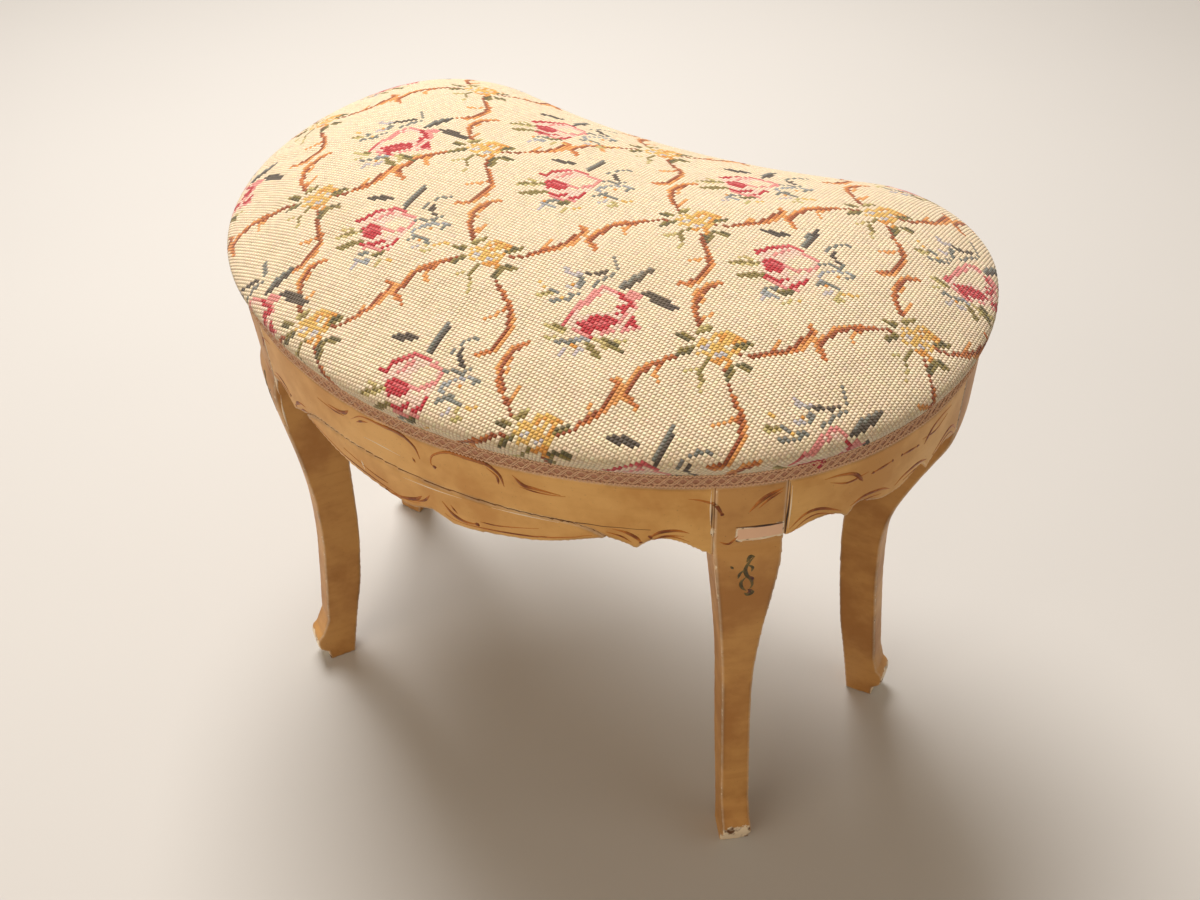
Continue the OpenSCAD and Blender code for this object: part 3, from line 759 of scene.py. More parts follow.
@dataclass(frozen=True)
class StitchFinish:
    """Wool tent stitch: each stitch one colour, a slanted rib over one crossing of the canvas."""

    name: str = "needlework wool"

    def make(self) -> bpy.types.Material:
        """Builds the material from the yarn colours and the canvas map of the cover.

        Returns:
            The material.
        """
        made, w, shader = open_material(self.name, sheen=0.25, specular=0.2)
        place = w.place()
        yarn = w.node("ShaderNodeAttribute", attribute_name="yarn").outputs["Color"]
        threads = w.node("ShaderNodeSeparateXYZ")
        w.put(threads.inputs[0], w.node("ShaderNodeUVMap", uv_map="canvas").outputs[0])
        x = w.math("FRACT", threads.outputs[0])
        y = w.math("FRACT", threads.outputs[1])
        round_x = w.math("SINE", w.math("MULTIPLY", x, math.pi))
        round_y = w.math("SINE", w.math("MULTIPLY", y, math.pi))
        body = w.math("POWER", w.math("MULTIPLY", round_x, round_y), 0.55)
        slant = w.math("SUBTRACT", x, y)
        rib = w.math("MULTIPLY", w.math("MULTIPLY", slant, slant), -2.2)
        height = w.math("MULTIPLY", body, w.math("EXPONENT", rib))
        ply = w.math("SINE", w.math("MULTIPLY", w.math("ADD", slant, w.math("MULTIPLY", y, 0.4)), 22.0))
        fuzz = w.noise(place, 1500.0, 2.0, 0.6)
        # The hollows between stitches are darkened towards brown: painted shade in the low parts of the
        # stitch relief.
        deep = w.math("SUBTRACT", 1.0, w.step(height, 0.05, 0.6))
        gap_shade_colour = w.blend(1.0, yarn, (0.72, 0.54, 0.37), "MULTIPLY")
        shaded = w.blend(w.math("MULTIPLY", deep, 0.42), yarn, gap_shade_colour)
        soft = w.math("ADD", 0.93, w.math("MULTIPLY", fuzz, 0.12))
        tint = w.node("ShaderNodeCombineColor")
        for socket in tint.inputs:
            w.put(socket, soft)
        toned = w.blend(1.0, shaded, tint.outputs[0], "MULTIPLY")
        dust = w.step(w.noise(place, 14.0, 4.0, 0.6), 0.5, 0.78)
        w.put(shader.inputs["Base Color"], w.blend(w.math("MULTIPLY", dust, 0.12), toned, (0.78, 0.66, 0.47)))
        w.put(shader.inputs["Roughness"], w.math("ADD", 0.78, w.math("MULTIPLY", fuzz, 0.15)))
        fibres = w.math("ADD", w.math("MULTIPLY", ply, 0.5), fuzz)
        raised = w.math("ADD", height, w.math("MULTIPLY", fibres, 0.1))
        w.put(shader.inputs["Normal"], w.relief(raised, 0.0010, 1.0))
        return made


@dataclass(frozen=True)
class CordFinish:
    """Matte twisted cotton of the braid, or the fibres of the padding."""

    name: str
    light: Colour
    dark: Colour
    scale: float = 900.0

    def make(self) -> bpy.types.Material:
        """Builds the material from two noises, fine thread and slow fading.

        Returns:
            The material.
        """
        made, w, shader = open_material(self.name, sheen=0.3, specular=0.2)
        place = w.place()
        thread = w.noise(place, self.scale, 3.0, 0.65)
        fade = w.noise(place, 16.0, 3.0)
        fine = w.math("MULTIPLY", w.step(thread, 0.35, 0.65), 0.6)
        share = w.math("ADD", fine, w.math("MULTIPLY", fade, 0.4))
        w.put(shader.inputs["Base Color"], w.blend(share, self.dark, self.light))
        w.put(shader.inputs["Roughness"], w.math("ADD", 0.75, w.math("MULTIPLY", thread, 0.2)))
        w.put(shader.inputs["Normal"], w.relief(thread, 0.0004, 0.7))
        return made


@dataclass(frozen=True)
class TackFinish:
    """Blued steel of the webbing tacks."""

    name: str = "blued tacks"

    def make(self) -> bpy.types.Material:
        """Builds the material with rust specks.

        Returns:
            The material.
        """
        made, w, shader = open_material(self.name)
        rust = w.step(w.noise(w.place(), 900.0, 3.0, 0.7), 0.5, 0.62)
        w.put(shader.inputs["Base Color"], w.blend(rust, (0.24, 0.24, 0.27), (0.42, 0.24, 0.14)))
        w.put(shader.inputs["Metallic"], w.math("SUBTRACT", 1.0, w.math("MULTIPLY", rust, 0.8)))
        w.put(shader.inputs["Roughness"], w.math("ADD", 0.4, w.math("MULTIPLY", rust, 0.4)))
        return made


# The painted woodwork


class Wear(Enum):
    """How hard a wooden piece has been rubbed."""

    RAIL = 0.84
    LEG = 0.97


@dataclass
class Woodwork:
    """Legs and rails: softened copies of the frame's solids, with their wear stored on them."""

    voxel: float = 0.0012
    rounding_passes: int = 5
    rail_half: float = 0.024
    post_half_angle: float = 6.277
    post_low: float = 0.299
    seat_line: float = 0.355
    leg_angles: tuple[float, float] = (36.1, 94.0)
    sharp_angle: float = 38.0
    joint_step: float = 0.0015
    chip_run: float = 0.0063
    chip_half_length: float = 0.0172
    chip_drop: float = 0.0393
    chip_half_height: float = 0.0084
    toe_height: float = 0.031
    toe_fade: float = 0.007
    toe_wear: float = 0.64
    pieces: dict = field(default_factory=dict)

    def joint_lines(self) -> KDTree:
        """Points along every joint that shows: beside the posts and between the rails.

        Returns:
            A search tree over the points.
        """
        rows = []
        side, side_r = PLAN.arcs()[1][0], PLAN.arcs()[1][1]
        lobe, lobe_r, _, lobe_end, _ = PLAN.arcs()[2]
        heights = np.arange(self.post_low, self.seat_line, self.joint_step)
        for mirror in (-1, 1):
            for angle in self.leg_angles:
                for turn in (-self.post_half_angle, self.post_half_angle):
                    x, y = side + side_r * way(angle + turn)
                    rows += [(mirror * x, y, z) for z in heights]
            x, y = lobe + lobe_r * way(lobe_end)
            rows += [(mirror * x, y, z) for z in heights]
        return tree_of(rows)

    def edge_tree(self, piece: bpy.types.Object) -> KDTree:
        """Points a millimetre apart along the sharp edges of a merged solid.

        Args:
            piece: The merged solid.

        Returns:
            A search tree over the points.
        """
        made = bmesh.new()
        made.from_mesh(piece.data)
        rows = []
        for edge in made.edges:
            if len(edge.link_faces) == 2 and edge.calc_face_angle(0.0) > math.radians(self.sharp_angle):
                a, b = edge.verts[0].co, edge.verts[1].co
                count = max(1, int((b - a).length / MM))
                rows += [a.lerp(b, k / count) for k in range(count + 1)]
        made.free()
        return tree_of(rows)

    def soften(self, node: str, joints: KDTree, material: bpy.types.Material) -> bpy.types.Object:
        """Makes the softened copy of one solid, with worn edges, and dresses it.

        Args:
            node: The frame's node that the piece stands for.
            joints: The joints that show.
            material: Its finish.

        Returns:
            The piece.
        """
        piece = merged_copy(node, "painted_" + node)
        edges = self.edge_tree(piece)
        finish_modifier(piece, "REMESH", mode="VOXEL", voxel_size=self.voxel, use_smooth_shade=True)
        finish_modifier(piece, "SMOOTH", factor=0.5, iterations=self.rounding_passes)
        points = points_of(piece)
        normals = np.array([v.normal for v in piece.data.vertices])
        mark(piece, "edge_gap", [edges.find(p)[2] or 0.0 for p in points])
        mark(piece, "joint_gap", [joints.find(p)[2] for p in points])
        inset, out = PLAN.inset_of(points[:, :2])
        facing = (normals[:, :2] * out).sum(1)
        if node.startswith("rail"):
            hidden = (inset > 0.9 * self.rail_half) & (facing < -0.3)
            mark(piece, "bare", hidden | (normals[:, 2] > 0.8))
        else:
            mark(piece, "bare", (points[:, 2] > self.post_low) & (facing < -0.6))
        mark(piece, "chip", self.chips(node, points, facing))
        self.pieces[node] = dress(piece, material, node)
        log.info("%s: %d faces", piece.name, len(piece.data.polygons))
        return piece

    def chips(self, node: str, points: np.ndarray, facing: np.ndarray) -> np.ndarray:
        """Where paint has broken away: the knee of one front leg and every toe.

        Args:
            node: The frame's node.
            points: The piece's points.
            facing: How far each point faces outwards, from -1 to 1.

        Returns:
            How far the paint is gone at each point, from 0 to 1.
        """
        depth = np.zeros(len(points))
        if node == "leg_front_right":
            side, side_r = PLAN.arcs()[1][0], PLAN.arcs()[1][1]
            rel = points[:, :2] - side
            run = np.radians(np.degrees(np.arctan2(rel[:, 0], -rel[:, 1])) - self.leg_angles[0]) * side_r
            across = np.clip(1 - np.abs(run - self.chip_run) / self.chip_half_length, -1, 1)
            middle = self.seat_line - self.chip_drop
            up = np.clip(1 - np.abs(points[:, 2] - middle) / self.chip_half_height, -1, 1)
            depth = np.where(facing > 0.3, np.minimum(across * 3.2, up * 1.5), 0)
        low = np.clip((self.toe_height - points[:, 2]) / self.toe_fade, 0, 1)
        toes = low * np.clip(facing * 1.2 + 0.15, 0, 1)
        return np.clip(np.maximum(depth, toes * self.toe_wear), 0, 1)

    def build(self, effects: SharedEffects) -> None:
        """Softens and dresses every leg and rail.

        Args:
            effects: The shared groups.
        """
        rail = PaintFinish("aged paint on rails", rub=Wear.RAIL.value).make(effects)
        # The legs' paint and its mottle are darker than the rails': painted shade for the shade the legs
        # stand in under the seat.
        leg = PaintFinish("aged paint on legs in painted shade", rub=Wear.LEG.value, paint=(0.80, 0.60, 0.34),
                          shade=(0.69, 0.48, 0.245)).make(effects)
        joints = self.joint_lines()
        for node in sorted(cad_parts):
            if node.startswith("leg_"):
                self.soften(node, joints, leg)
            elif node.startswith("rail_") and node != "rail_dowels":
                self.soften(node, joints, rail)


# Painted ornament


@dataclass
class Stroke:
    """One touch of the brush, laid in millimetres along the outline and down from the braid."""

    path: list
    width: float = 2.4
    swell: float = 0.6
    dots: tuple[float, ...] = ()


@dataclass
class Ornament:
    """The painter's strokes on rails and posts, projected onto the wood as thin raised glaze."""

    wood: Woodwork
    lift: float = 0.00022
    sink: float = 0.0005
    scallop_offset: float = 4.2
    scallop_shift: int = -6

    def __post_init__(self) -> None:
        """Gathers the woodwork into one surface that strokes are dropped onto."""
        verts, faces, base = [], [], 0
        for piece in self.wood.pieces.values():
            points = points_of(piece)
            verts += [tuple(p) for p in points]
            faces += [tuple(base + v for v in poly.vertices) for poly in piece.data.polygons]
            base += len(points)
        self.surface = BVHTree.FromPolygons(verts, faces)

    def drop_on(self, run: float, fall: float) -> tuple[Vector, Vector] | None:
        """The wood's surface at a place of the outline.

        Args:
            run: Millimetres along the outline from the front's middle.
            fall: Millimetres below the braid.

        Returns:
            The point and its normal, or None where there is no wood.
        """
        point, out = PLAN.at(run * MM)
        start = Vector((*(point + out * 0.05), self.wood.seat_line - fall * MM))
        spot, normal, _, _ = self.surface.ray_cast(start, Vector((-out[0], -out[1], 0.0)), 0.12)
        return (spot, normal) if spot else None

    def scallop(self, run: float, low: float = 68.0, high: float = 36.0) -> float:
        """How far below the braid the wood ends at a place of the outline, in millimetres.

        Args:
            run: Millimetres along the outline.
            low: Where the search starts.
            high: Where it ends at the latest.

        Returns:
            Millimetres below the braid.
        """
        fall = low
        while fall > high:
            found = self.drop_on(run, fall)
            if found and (Vector((*PLAN.at(run * MM)[0], found[0].z)) - found[0]).length < 0.012:
                return fall
            fall -= 0.7
        return high

    def along_scallop(self, start: float, end: float, offset: float) -> list:
        """Places that follow the sawn edge at an offset above it.

        Args:
            start: First place along the outline.
            end: Last place.
            offset: Millimetres above the edge.

        Returns:
            The places of a path.
        """
        count = max(3, int(abs(end - start) / 5))
        rows = []
        for k in range(count + 1):
            run = start + (end - start) * k / count
            rows.append((run, self.scallop(run) - offset))
        return rows

    def lay(self, name: str, strokes: list[Stroke], material: bpy.types.Material) -> bpy.types.Object:
        """Makes all strokes of one colour as one piece of closed lens-shaped ribbons.

        Args:
            name: The piece's name.
            strokes: The strokes.
            material: Its glaze.

        Returns:
            The piece.
        """
        verts, faces, loads = [], [], []
        for stroke in strokes:
            steps = 5 if len(stroke.path) > 8 else 9
            line = smooth_line(stroke.path, steps)
            shares = np.linspace(0, 1, len(line))
            peak = stroke.swell
            width = stroke.width * np.where(shares < peak, np.sin(shares / peak * math.pi / 2) ** 0.8,
                                            np.cos((shares - peak) / (1 - peak) * math.pi / 2) ** 0.7)
            load = 0.25 + 0.6 * np.exp(-((shares - peak) / 0.22) ** 2)
            for dot in stroke.dots:
                near = np.exp(-((shares - dot) / 0.06) ** 2)
                width = np.maximum(width, stroke.width * 1.15 * near)
                load = np.maximum(load, 1.1 * near)
            self._ribbon(line, np.maximum(width, 0.35) * MM / 2, load, verts, faces, loads)
        piece = outwards(new_piece(name, np.array(verts), faces))
        mark(piece, "load", loads)
        smoothed(piece)
        log.info("%s: %d strokes", name, len(strokes))
        return dress(piece, material)

    def _ribbon(self, line: np.ndarray, half: np.ndarray, load: np.ndarray, verts: list,
                faces: list, loads: list) -> None:
        """Adds one ribbon: left edge, raised middle, right edge and sunk back at each step.

        Args:
            line: Places along the stroke.
            half: Half its width at each place.
            load: How loaded the brush is there.
            verts: Gathers the points.
            faces: Gathers the faces.
            loads: Gathers the load at each point.
        """
        found = [(self.drop_on(*row), w, d) for row, w, d in zip(line, half, load)]
        found = [(hit, w, d) for hit, w, d in found if hit]
        if len(found) < 3:
            return
        spots = [hit[0] for hit, _, _ in found]
        base = len(verts)
        for k, (hit, w, d) in enumerate(found):
            ahead = (spots[min(k + 1, len(spots) - 1)] - spots[max(k - 1, 0)]).normalized()
            normal = hit[1]
            side = normal.cross(ahead).normalized()
            verts += [hit[0] - side * w - normal * self.sink * 0.1, hit[0] + normal * self.lift,
                      hit[0] + side * w - normal * self.sink * 0.1, hit[0] - normal * self.sink]
            loads += [d * 0.75, d, d * 0.75, d]
        faces += ring_faces(len(found), 4, base, closed=False)
        end = base + 4 * (len(found) - 1)
        faces += [(base + 3, base + 2, base + 1, base), (end, end + 1, end + 2, end + 3)]

    def front_strokes(self) -> list[Stroke]:
        """The front apron: hooks that face over the notch, commas, and a line along the scallops.

        Returns:
            The strokes.
        """
        rows = (
            ([(-62.5, 12.5), (-51.6, 4.5), (-37.2, 3), (-21.1, 2.5), (-11.8, 7.5), (-8.5, 16.5)],
             2.9, 0.7, ()),
            ([(-57.5, 12), (-52, 8.5), (-46.5, 6.5)], 2.0, 0.4, ()),
            ([(-14.4, 18), (-12.7, 21.5)], 2.2, 0.5, (0.5,)),
            ([(2.5, 19), (-0.8, 16.5), (1.7, 9), (12.7, 2), (26.2, 1.5), (37.2, 2), (44.8, 7.5),
              (47.3, 16.5)], 2.9, 0.8, (0.03,)),
            ([(37.2, 4.5), (43.1, 9.5), (43.9, 15.5)], 2.2, 0.7, ()),
            ([(53.2, 5.5), (59.2, 11.5), (66.8, 12.5), (81.1, 14)], 3.5, 0.35, ()),
            ([(57, 13.5), (65, 14.8), (74, 15.2), (84, 14.4)], 1.5, 0.3, ()),
            ([(-63, 6), (-68, 10.5), (-75, 12.4), (-84, 12.8)], 3.4, 0.35, ()),
            ([(-69, 13.5), (-77, 14.8), (-86, 15), (-95, 14.4)], 1.5, 0.3, ()),
            ([(-43.9, 61), (-31.3, 60), (-18.6, 55), (-12.7, 49.5)], 3.4, 0.6, (0.04,)),
            ([(-22, 58.5), (-11.8, 53), (-6.5, 46)], 2.1, 0.6, ()),
            ([(2.5, 46.5), (8.5, 54), (16.9, 57.5), (27, 56)], 3.5, 0.45, (0.96,)),
            ([(8.5, 47), (10.4, 50), (12.7, 52.5)], 2.1, 0.5, ()),
            ([(28, 53), (39, 52), (52, 49), (66, 45.5)], 1.4, 0.2, ()),
            ([(-40, 53), (-51, 52), (-64, 49), (-78, 45.5)], 1.4, 0.2, ()),
        )
        strokes = [Stroke(*row) for row in rows]
        for mirror in (-1, 1):
            shift = 0 if mirror < 0 else self.scallop_shift
            for path, width, swell, dots in (
                    ([(116, 36), (124, 38), (130, 42), (132.5, 46)], 3.1, 0.55, (0.97,)),
                    ([(112, 39), (121, 41.5), (127, 46)], 1.7, 0.5, ()),
                    ([(137, 41), (144, 36), (153, 34.5), (160, 36.5)], 3.2, 0.4, (0.03,)),
                    ([(139, 43), (147, 39), (157, 39)], 1.7, 0.4, ())):
                strokes.append(Stroke([(mirror * x + shift, y) for x, y in path], width, swell, dots))
            for start, end, offset, width, swell in ((9, 104, 0, 1.7, 0.5), (134, 160, 1, 1.5, 0.4)):
                first, last = (mirror * run + self.scallop_shift for run in (start, end))
                line = self.along_scallop(first, last, self.scallop_offset - offset)
                strokes.append(Stroke(line, width, swell))
        return strokes

    def side_strokes(self) -> list[Stroke]:
        """The posts and side rails: a comma over each post, arches over the scallops, small touches.

        Returns:
            The strokes.
        """
        middle = 283.2
        strokes = []
        for mirror in (-1, 1):
            strokes += [
                Stroke([(mirror * x, y) for x, y in row], width, swell, dots)
                for row, width, swell, dots in (
                    ([(153, 8.5), (160.6, 10), (168.2, 14), (172.6, 22.5)], 2.6, 0.8, (0.97,)),
                    ([(171.3, 44.5), (176.7, 46.5), (182, 40.5)], 2.2, 0.5, ()),
                    ([(206.3, 5.5), (195.5, 11.5), (187.4, 21.5)], 4.0, 0.4, ()),
                    ([(206.3, 7.8), (199, 12.5), (192.8, 19)], 2.4, 0.4, ()),
                )]
            for turn in (-1, 1):
                for row, width, swell, dots in (
                        ([(52, 7), (42, 7.5), (32, 11), (25, 20)], 2.6, 0.8, ()),
                        ([(48, 11), (36, 16), (22, 14)], 1.6, 0.6, ()),
                        ([(20, 17), (11, 16), (3, 15)], 2.0, 0.5, (0.1, 0.95)),
                        ([(71, 41), (62, 31.5), (52, 30.5), (38, 38)], 2.4, 0.6, ()),
                        ([(70, 45), (61, 36), (52, 34.5), (40, 41)], 1.2, 0.5, ()),
                        ([(32, 37), (22, 33.5), (10, 35), (2, 39)], 2.3, 0.4, ()),
                        ([(30, 41), (20, 37.5), (9, 39)], 1.2, 0.4, ())):
                    places = [(mirror * (middle + turn * -x), y) for x, y in row]
                    strokes.append(Stroke(places, width * 1.3, swell, dots))
        return strokes

    def back_strokes(self) -> list[Stroke]:
        """The lobes and the hollow back: one line along the sawn edge, broken by commas.

        Returns:
            The strokes.
        """
        strokes = []
        end = PLAN.half_run() / MM
        for mirror in (-1, 1):
            for start, stop in ((384, 470), (478, 560), (568, end - 8)):
                line = self.along_scallop(mirror * start, mirror * stop, self.scallop_offset)
                strokes.append(Stroke(line, 1.5, 0.5))
            for run in (420, 520, 610):
                for row, width, swell in (([(-16, 24), (-6, 15), (6, 12), (16, 16)], 2.6, 0.35),
                                          ([(-10, 27), (0, 19), (12, 19)], 1.4, 0.4)):
                    places = [(mirror * (run + x), y) for x, y in row]
                    strokes.append(Stroke(places, width, swell))
        return strokes

    def sprig_strokes(self) -> list[Stroke]:
        """A little leafy scroll on the knee of each front leg.

        Returns:
            The strokes.
        """
        rows = (
            ([(10, 56), (6, 60), (3.4, 66), (4.6, 72), (8, 77), (9.4, 83), (7.6, 88)], 1.9, 0.45),
            ([(3.4, 66), (-0.4, 70), (-1.6, 75)], 1.4, 0.6),
            ([(5, 73), (1, 79), (2, 85), (5.4, 89)], 1.6, 0.5),
            ([(10, 56), (6.5, 56), (4, 60)], 1.8, 0.5), ([(7.6, 88), (10, 91), (7, 93.5), (4, 91)], 2.2, 0.5),
            ([(4.5, 62), (8.5, 65), (8, 69)], 1.4, 0.5), ([(-7.6, 62), (-6.4, 63.6), (-5.4, 65)], 1.2, 0.5),
        )
        run, fall, wide, tall, bold = 184.0, 57, 0.8, 0.93, 1.65
        return [Stroke([(mirror * (run + x * wide), fall + (y - 56) * tall) for x, y in row],
                       width * bold, swell)
                for mirror in (-1, 1) for row, width, swell in rows]

    def build(self) -> None:
        """Lays every stroke in its colour."""
        gold = BrushFinish("golden brown glaze", (0.76, 0.47, 0.17), (0.47, 0.22, 0.05)).make()
        green = BrushFinish("dark sprig paint", (0.44, 0.39, 0.22), (0.29, 0.25, 0.14)).make()
        self.lay("strokes_front", self.front_strokes(), gold)
        self.lay("strokes_sides", self.side_strokes(), gold)
        self.lay("strokes_back", self.back_strokes(), gold)
        self.lay("sprigs", self.sprig_strokes(), green)
        rows = (([(189, 73), (191, 76), (190.5, 79)], 3.2), ([(189, 86), (191, 88.5), (189, 90)], 3.4))
        blots = [Stroke([(mirror * x, y) for x, y in row], width, 0.5)
                 for mirror in (-1, 1) for row, width in rows]
        purple = BrushFinish("sprig blots", (0.44, 0.27, 0.22), (0.30, 0.16, 0.15)).make()
        self.lay("sprig_blots", blots, purple)
        # Dark lines of open cracks; the one along the chip's upper edge is partly a painted shadow under the
        # chip's rim.
        dark = BrushFinish("open cracks and painted chip shadow", (0.42, 0.27, 0.15), (0.17, 0.10, 0.06)).make()
        self.lay("cracks", self.crack_and_chip_shadow_strokes(), dark)
        white = BrushFinish("gesso showing", (0.95, 0.86, 0.73), (0.97, 0.92, 0.83)).make()
        self.lay("scratches", self.scratch_strokes(), white)

    @staticmethod
    def crack_and_chip_shadow_strokes() -> list[Stroke]:
        """The glue line that has opened along the apron, the line along the chip's upper edge, partly a crack
        and partly painted shadow, and the front posts' joints.

        Returns:
            The strokes.
        """
        glue = [(run, 34.5 + 0.25 * math.sin(run * 0.31)) for run in range(-93, 134, 9)]
        # The second line runs along the chip's upper edge: a crack, darkened further as a painted shadow
        # under the chip's rim.
        rows = [(glue, 1.5, 0.5), ([(180.5, 33), (190, 33.8), (199, 34.2), (209, 34.4)], 2.2, 0.6)]
        for mirror in (-1, 1):
            for row, width, swell in (([(210.3, 2), (210.5, 18), (210.2, 34), (210, 50)], 1.3, 0.6),
                                      ([(166.5, 12), (166.4, 24), (166.6, 33)], 0.9, 0.5)):
                rows.append(([(mirror * x, y) for x, y in row], width, swell))
        return [Stroke(*row) for row in rows]

    @staticmethod
    def scratch_strokes() -> list[Stroke]:
        """Thin lines and flakes where the paint has lifted off the white ground.

        Returns:
            The strokes.
        """
        rows = [([(-25.4, 40), (-12, 39.2), (3, 38.4), (17.7, 37.6)], 1.2, 0.5),
                ([(37.2, 37.3), (50, 37), (64, 36.8), (78.6, 37)], 1.1, 0.5),
                ([(-53.2, 21.5), (-38.9, 21), (-23.7, 21.5)], 1.1, 0.5), ([(-61.7, 46), (-60, 53)], 1.8, 0.4),
                ([(183.5, 44.6), (196, 44.8), (208.5, 43.6)], 1.9, 0.6),
                ([(209, 35), (209.2, 39), (208.8, 44)], 1.5, 0.5)]
        for mirror in (-1, 1):
            for row, width, swell in (([(165.8, 2), (165.5, 16), (165.8, 30)], 1.1, 0.5),
                                      ([(166.6, 32), (167.4, 37), (168, 42)], 3.2, 0.4),
                                      ([(168, 42), (168.3, 52), (168.8, 62)], 1.7, 0.3),
                                      ([(168.8, 63), (170.2, 80), (171.6, 96)], 1.5, 0.5),
                                      ([(211.6, 5), (211.8, 22), (211.4, 40)], 1.0, 0.5)):
                rows.append(([(mirror * x, y) for x, y in row], width, swell))
        return [Stroke(*row) for row in rows]


# The needlework chart


class Yarn(Enum):
    """The wools of the chart, as they show under the studio lamps."""

    IVORY = (0.975, 0.918, 0.80)
    RUST = (0.60, 0.31, 0.16)
    COPPER = (0.80, 0.48, 0.25)
    APRICOT = (0.93, 0.66, 0.38)
    GOLD = (0.92, 0.76, 0.42)
    AMBER = (0.88, 0.62, 0.28)
    MIST = (0.78, 0.77, 0.79)
    SKY = (0.64, 0.67, 0.69)
    STEEL = (0.50, 0.52, 0.50)
    SLATE = (0.33, 0.30, 0.27)
    OLIVE = (0.55, 0.50, 0.28)
    SAGE = (0.80, 0.75, 0.50)
    MOSS = (0.39, 0.37, 0.24)
    BLUSH = (0.98, 0.865, 0.80)
    PINK = (0.93, 0.60, 0.59)
    ROSE = (0.85, 0.38, 0.41)
    CRIMSON = (0.76, 0.17, 0.23)


class Mark(NamedTuple):
    """One mark of a motif: a filled patch where it has no width, else a line or a leaf of two wools."""

    yarn: Yarn
    width: float
    points: tuple
    second: Yarn | None = None


ROSE_OPEN = (
    Mark(Yarn.BLUSH, 0, ((-17.9, 9.9), (-9.6, 17.5), (4.4, 18.1), (16, 8.5), (16, 1.4), (10.9, -8.8),
         (3.1, -19.3), (-11.6, -13.9), (-16.8, -3.8))),
    Mark(Yarn.IVORY, 0, ((-0.5, 6.7), (5.4, 11.4), (13.3, 7.4), (13.4, 0.4), (6, -6.7), (0.5, -7.1),
         (-2.5, 1.5))),
    Mark(Yarn.CRIMSON, 2.6, ((-19.8, 12.4), (-14.6, 12.7))),
    Mark(Yarn.CRIMSON, 3, ((-18.2, 11.4), (-12.2, 15.8), (-5, 18.1))),
    Mark(Yarn.ROSE, 2.8, ((-5.9, 17.8), (2.4, 18.8), (9.1, 15))),
    Mark(Yarn.PINK, 2.3, ((-8.4, 9.4), (-4.6, 12.7), (1.1, 15.2))),
    Mark(Yarn.PINK, 2.6, ((9.9, 12.5), (15.4, 8.9), (17.5, 4.1), (14.3, 0.2), (10.1, -2.6))),
    Mark(Yarn.PINK, 2.3, ((-2.9, 0.9), (4.6, -3.1), (9.8, -0.5))),
    Mark(Yarn.CRIMSON, 0, ((-16.6, 4.2), (-10.8, 6.4), (-3.7, 3.1), (-2.3, -3.3), (-6.9, -7.1),
         (-14.5, -3.6))),
    Mark(Yarn.ROSE, 2, ((-14.2, 1), (-9.7, 2.1), (-4.6, -0.6))),
    Mark(Yarn.CRIMSON, 2.8, ((-15.1, -9.3), (-8.1, -12.3), (-0.9, -10.2))),
    Mark(Yarn.PINK, 2.6, ((-13.1, -13), (-4.7, -16.6), (3.1, -19.6))),
    Mark(Yarn.CRIMSON, 2.8, ((0.4, -16), (4.4, -15), (8.8, -10.1))),
    Mark(Yarn.SLATE, 4.6, ((0.8, 29.8), (-15.7, 33.8)), Yarn.SLATE),
    Mark(Yarn.SLATE, 5.2, ((9, 19), (19.8, 38.8)), Yarn.STEEL),
    Mark(Yarn.STEEL, 2, ((21.8, 16.4), (27.1, 22.1), (33.2, 25.1), (39.4, 25))),
    Mark(Yarn.SLATE, 0, ((23.9, 14.7), (28.8, 19.1), (28.9, 11.6), (33.1, 7), (28.1, 6.9), (26.6, 11.8))),
    Mark(Yarn.STEEL, 2.3, ((18.3, 5.1), (23.8, 5), (29.5, 2.7), (33.2, 6))),
    Mark(Yarn.SKY, 2.3, ((17.5, -3.3), (24.5, -0.8), (29.9, 0.1), (39.2, -2.2))),
    Mark(Yarn.STEEL, 2.3, ((34.6, -5.2), (39.3, -2.5))),
    Mark(Yarn.STEEL, 2.8, ((15.6, -12.9), (21.2, -10.3), (28.3, -16.6))),
    Mark(Yarn.SKY, 2.3, ((18.2, -8.5), (16.3, -4.2))),
    Mark(Yarn.MIST, 2.3, ((18.3, -20.5), (23.1, -18.6))),
    Mark(Yarn.AMBER, 2.3, ((28.6, -4.6), (29, -4.6))),
    Mark(Yarn.AMBER, 2.3, ((21.5, -13.3), (21.9, -13.4))),
    Mark(Yarn.SAGE, 2.8, ((25.2, -24.7), (30.1, -24))),
    Mark(Yarn.SAGE, 2.3, ((27.1, -21.7), (28.1, -19.2))),
    Mark(Yarn.GOLD, 2, ((31.3, -18.9), (40.2, -19))),
    Mark(Yarn.OLIVE, 4, ((-17.5, 1), (-34.4, 1)), Yarn.SAGE),
    Mark(Yarn.OLIVE, 4, ((-15.3, -8), (-32.7, -9.6)), Yarn.OLIVE),
    Mark(Yarn.SAGE, 2.3, ((-28.9, 6.3), (-21.9, 4.7))),
    Mark(Yarn.SKY, 3, ((-16.6, -22.2), (-9.5, -25.6))),
    Mark(Yarn.STEEL, 2.6, ((-14.7, -18.9), (-8.2, -18.4))),
    Mark(Yarn.AMBER, 2.3, ((-17, -19), (-16.6, -19.1))),
    Mark(Yarn.MIST, 2, ((-19, -28.3), (-15.6, -25.5))),
    Mark(Yarn.MOSS, 3.6, ((-7.7, -21.6), (1.8, -20)), Yarn.OLIVE),
    Mark(Yarn.SAGE, 2.4, ((-4.7, -30.2), (-1.4, -27.2))),
    Mark(Yarn.GOLD, 2, ((3.2, -27.5), (6, -27.3))),
)

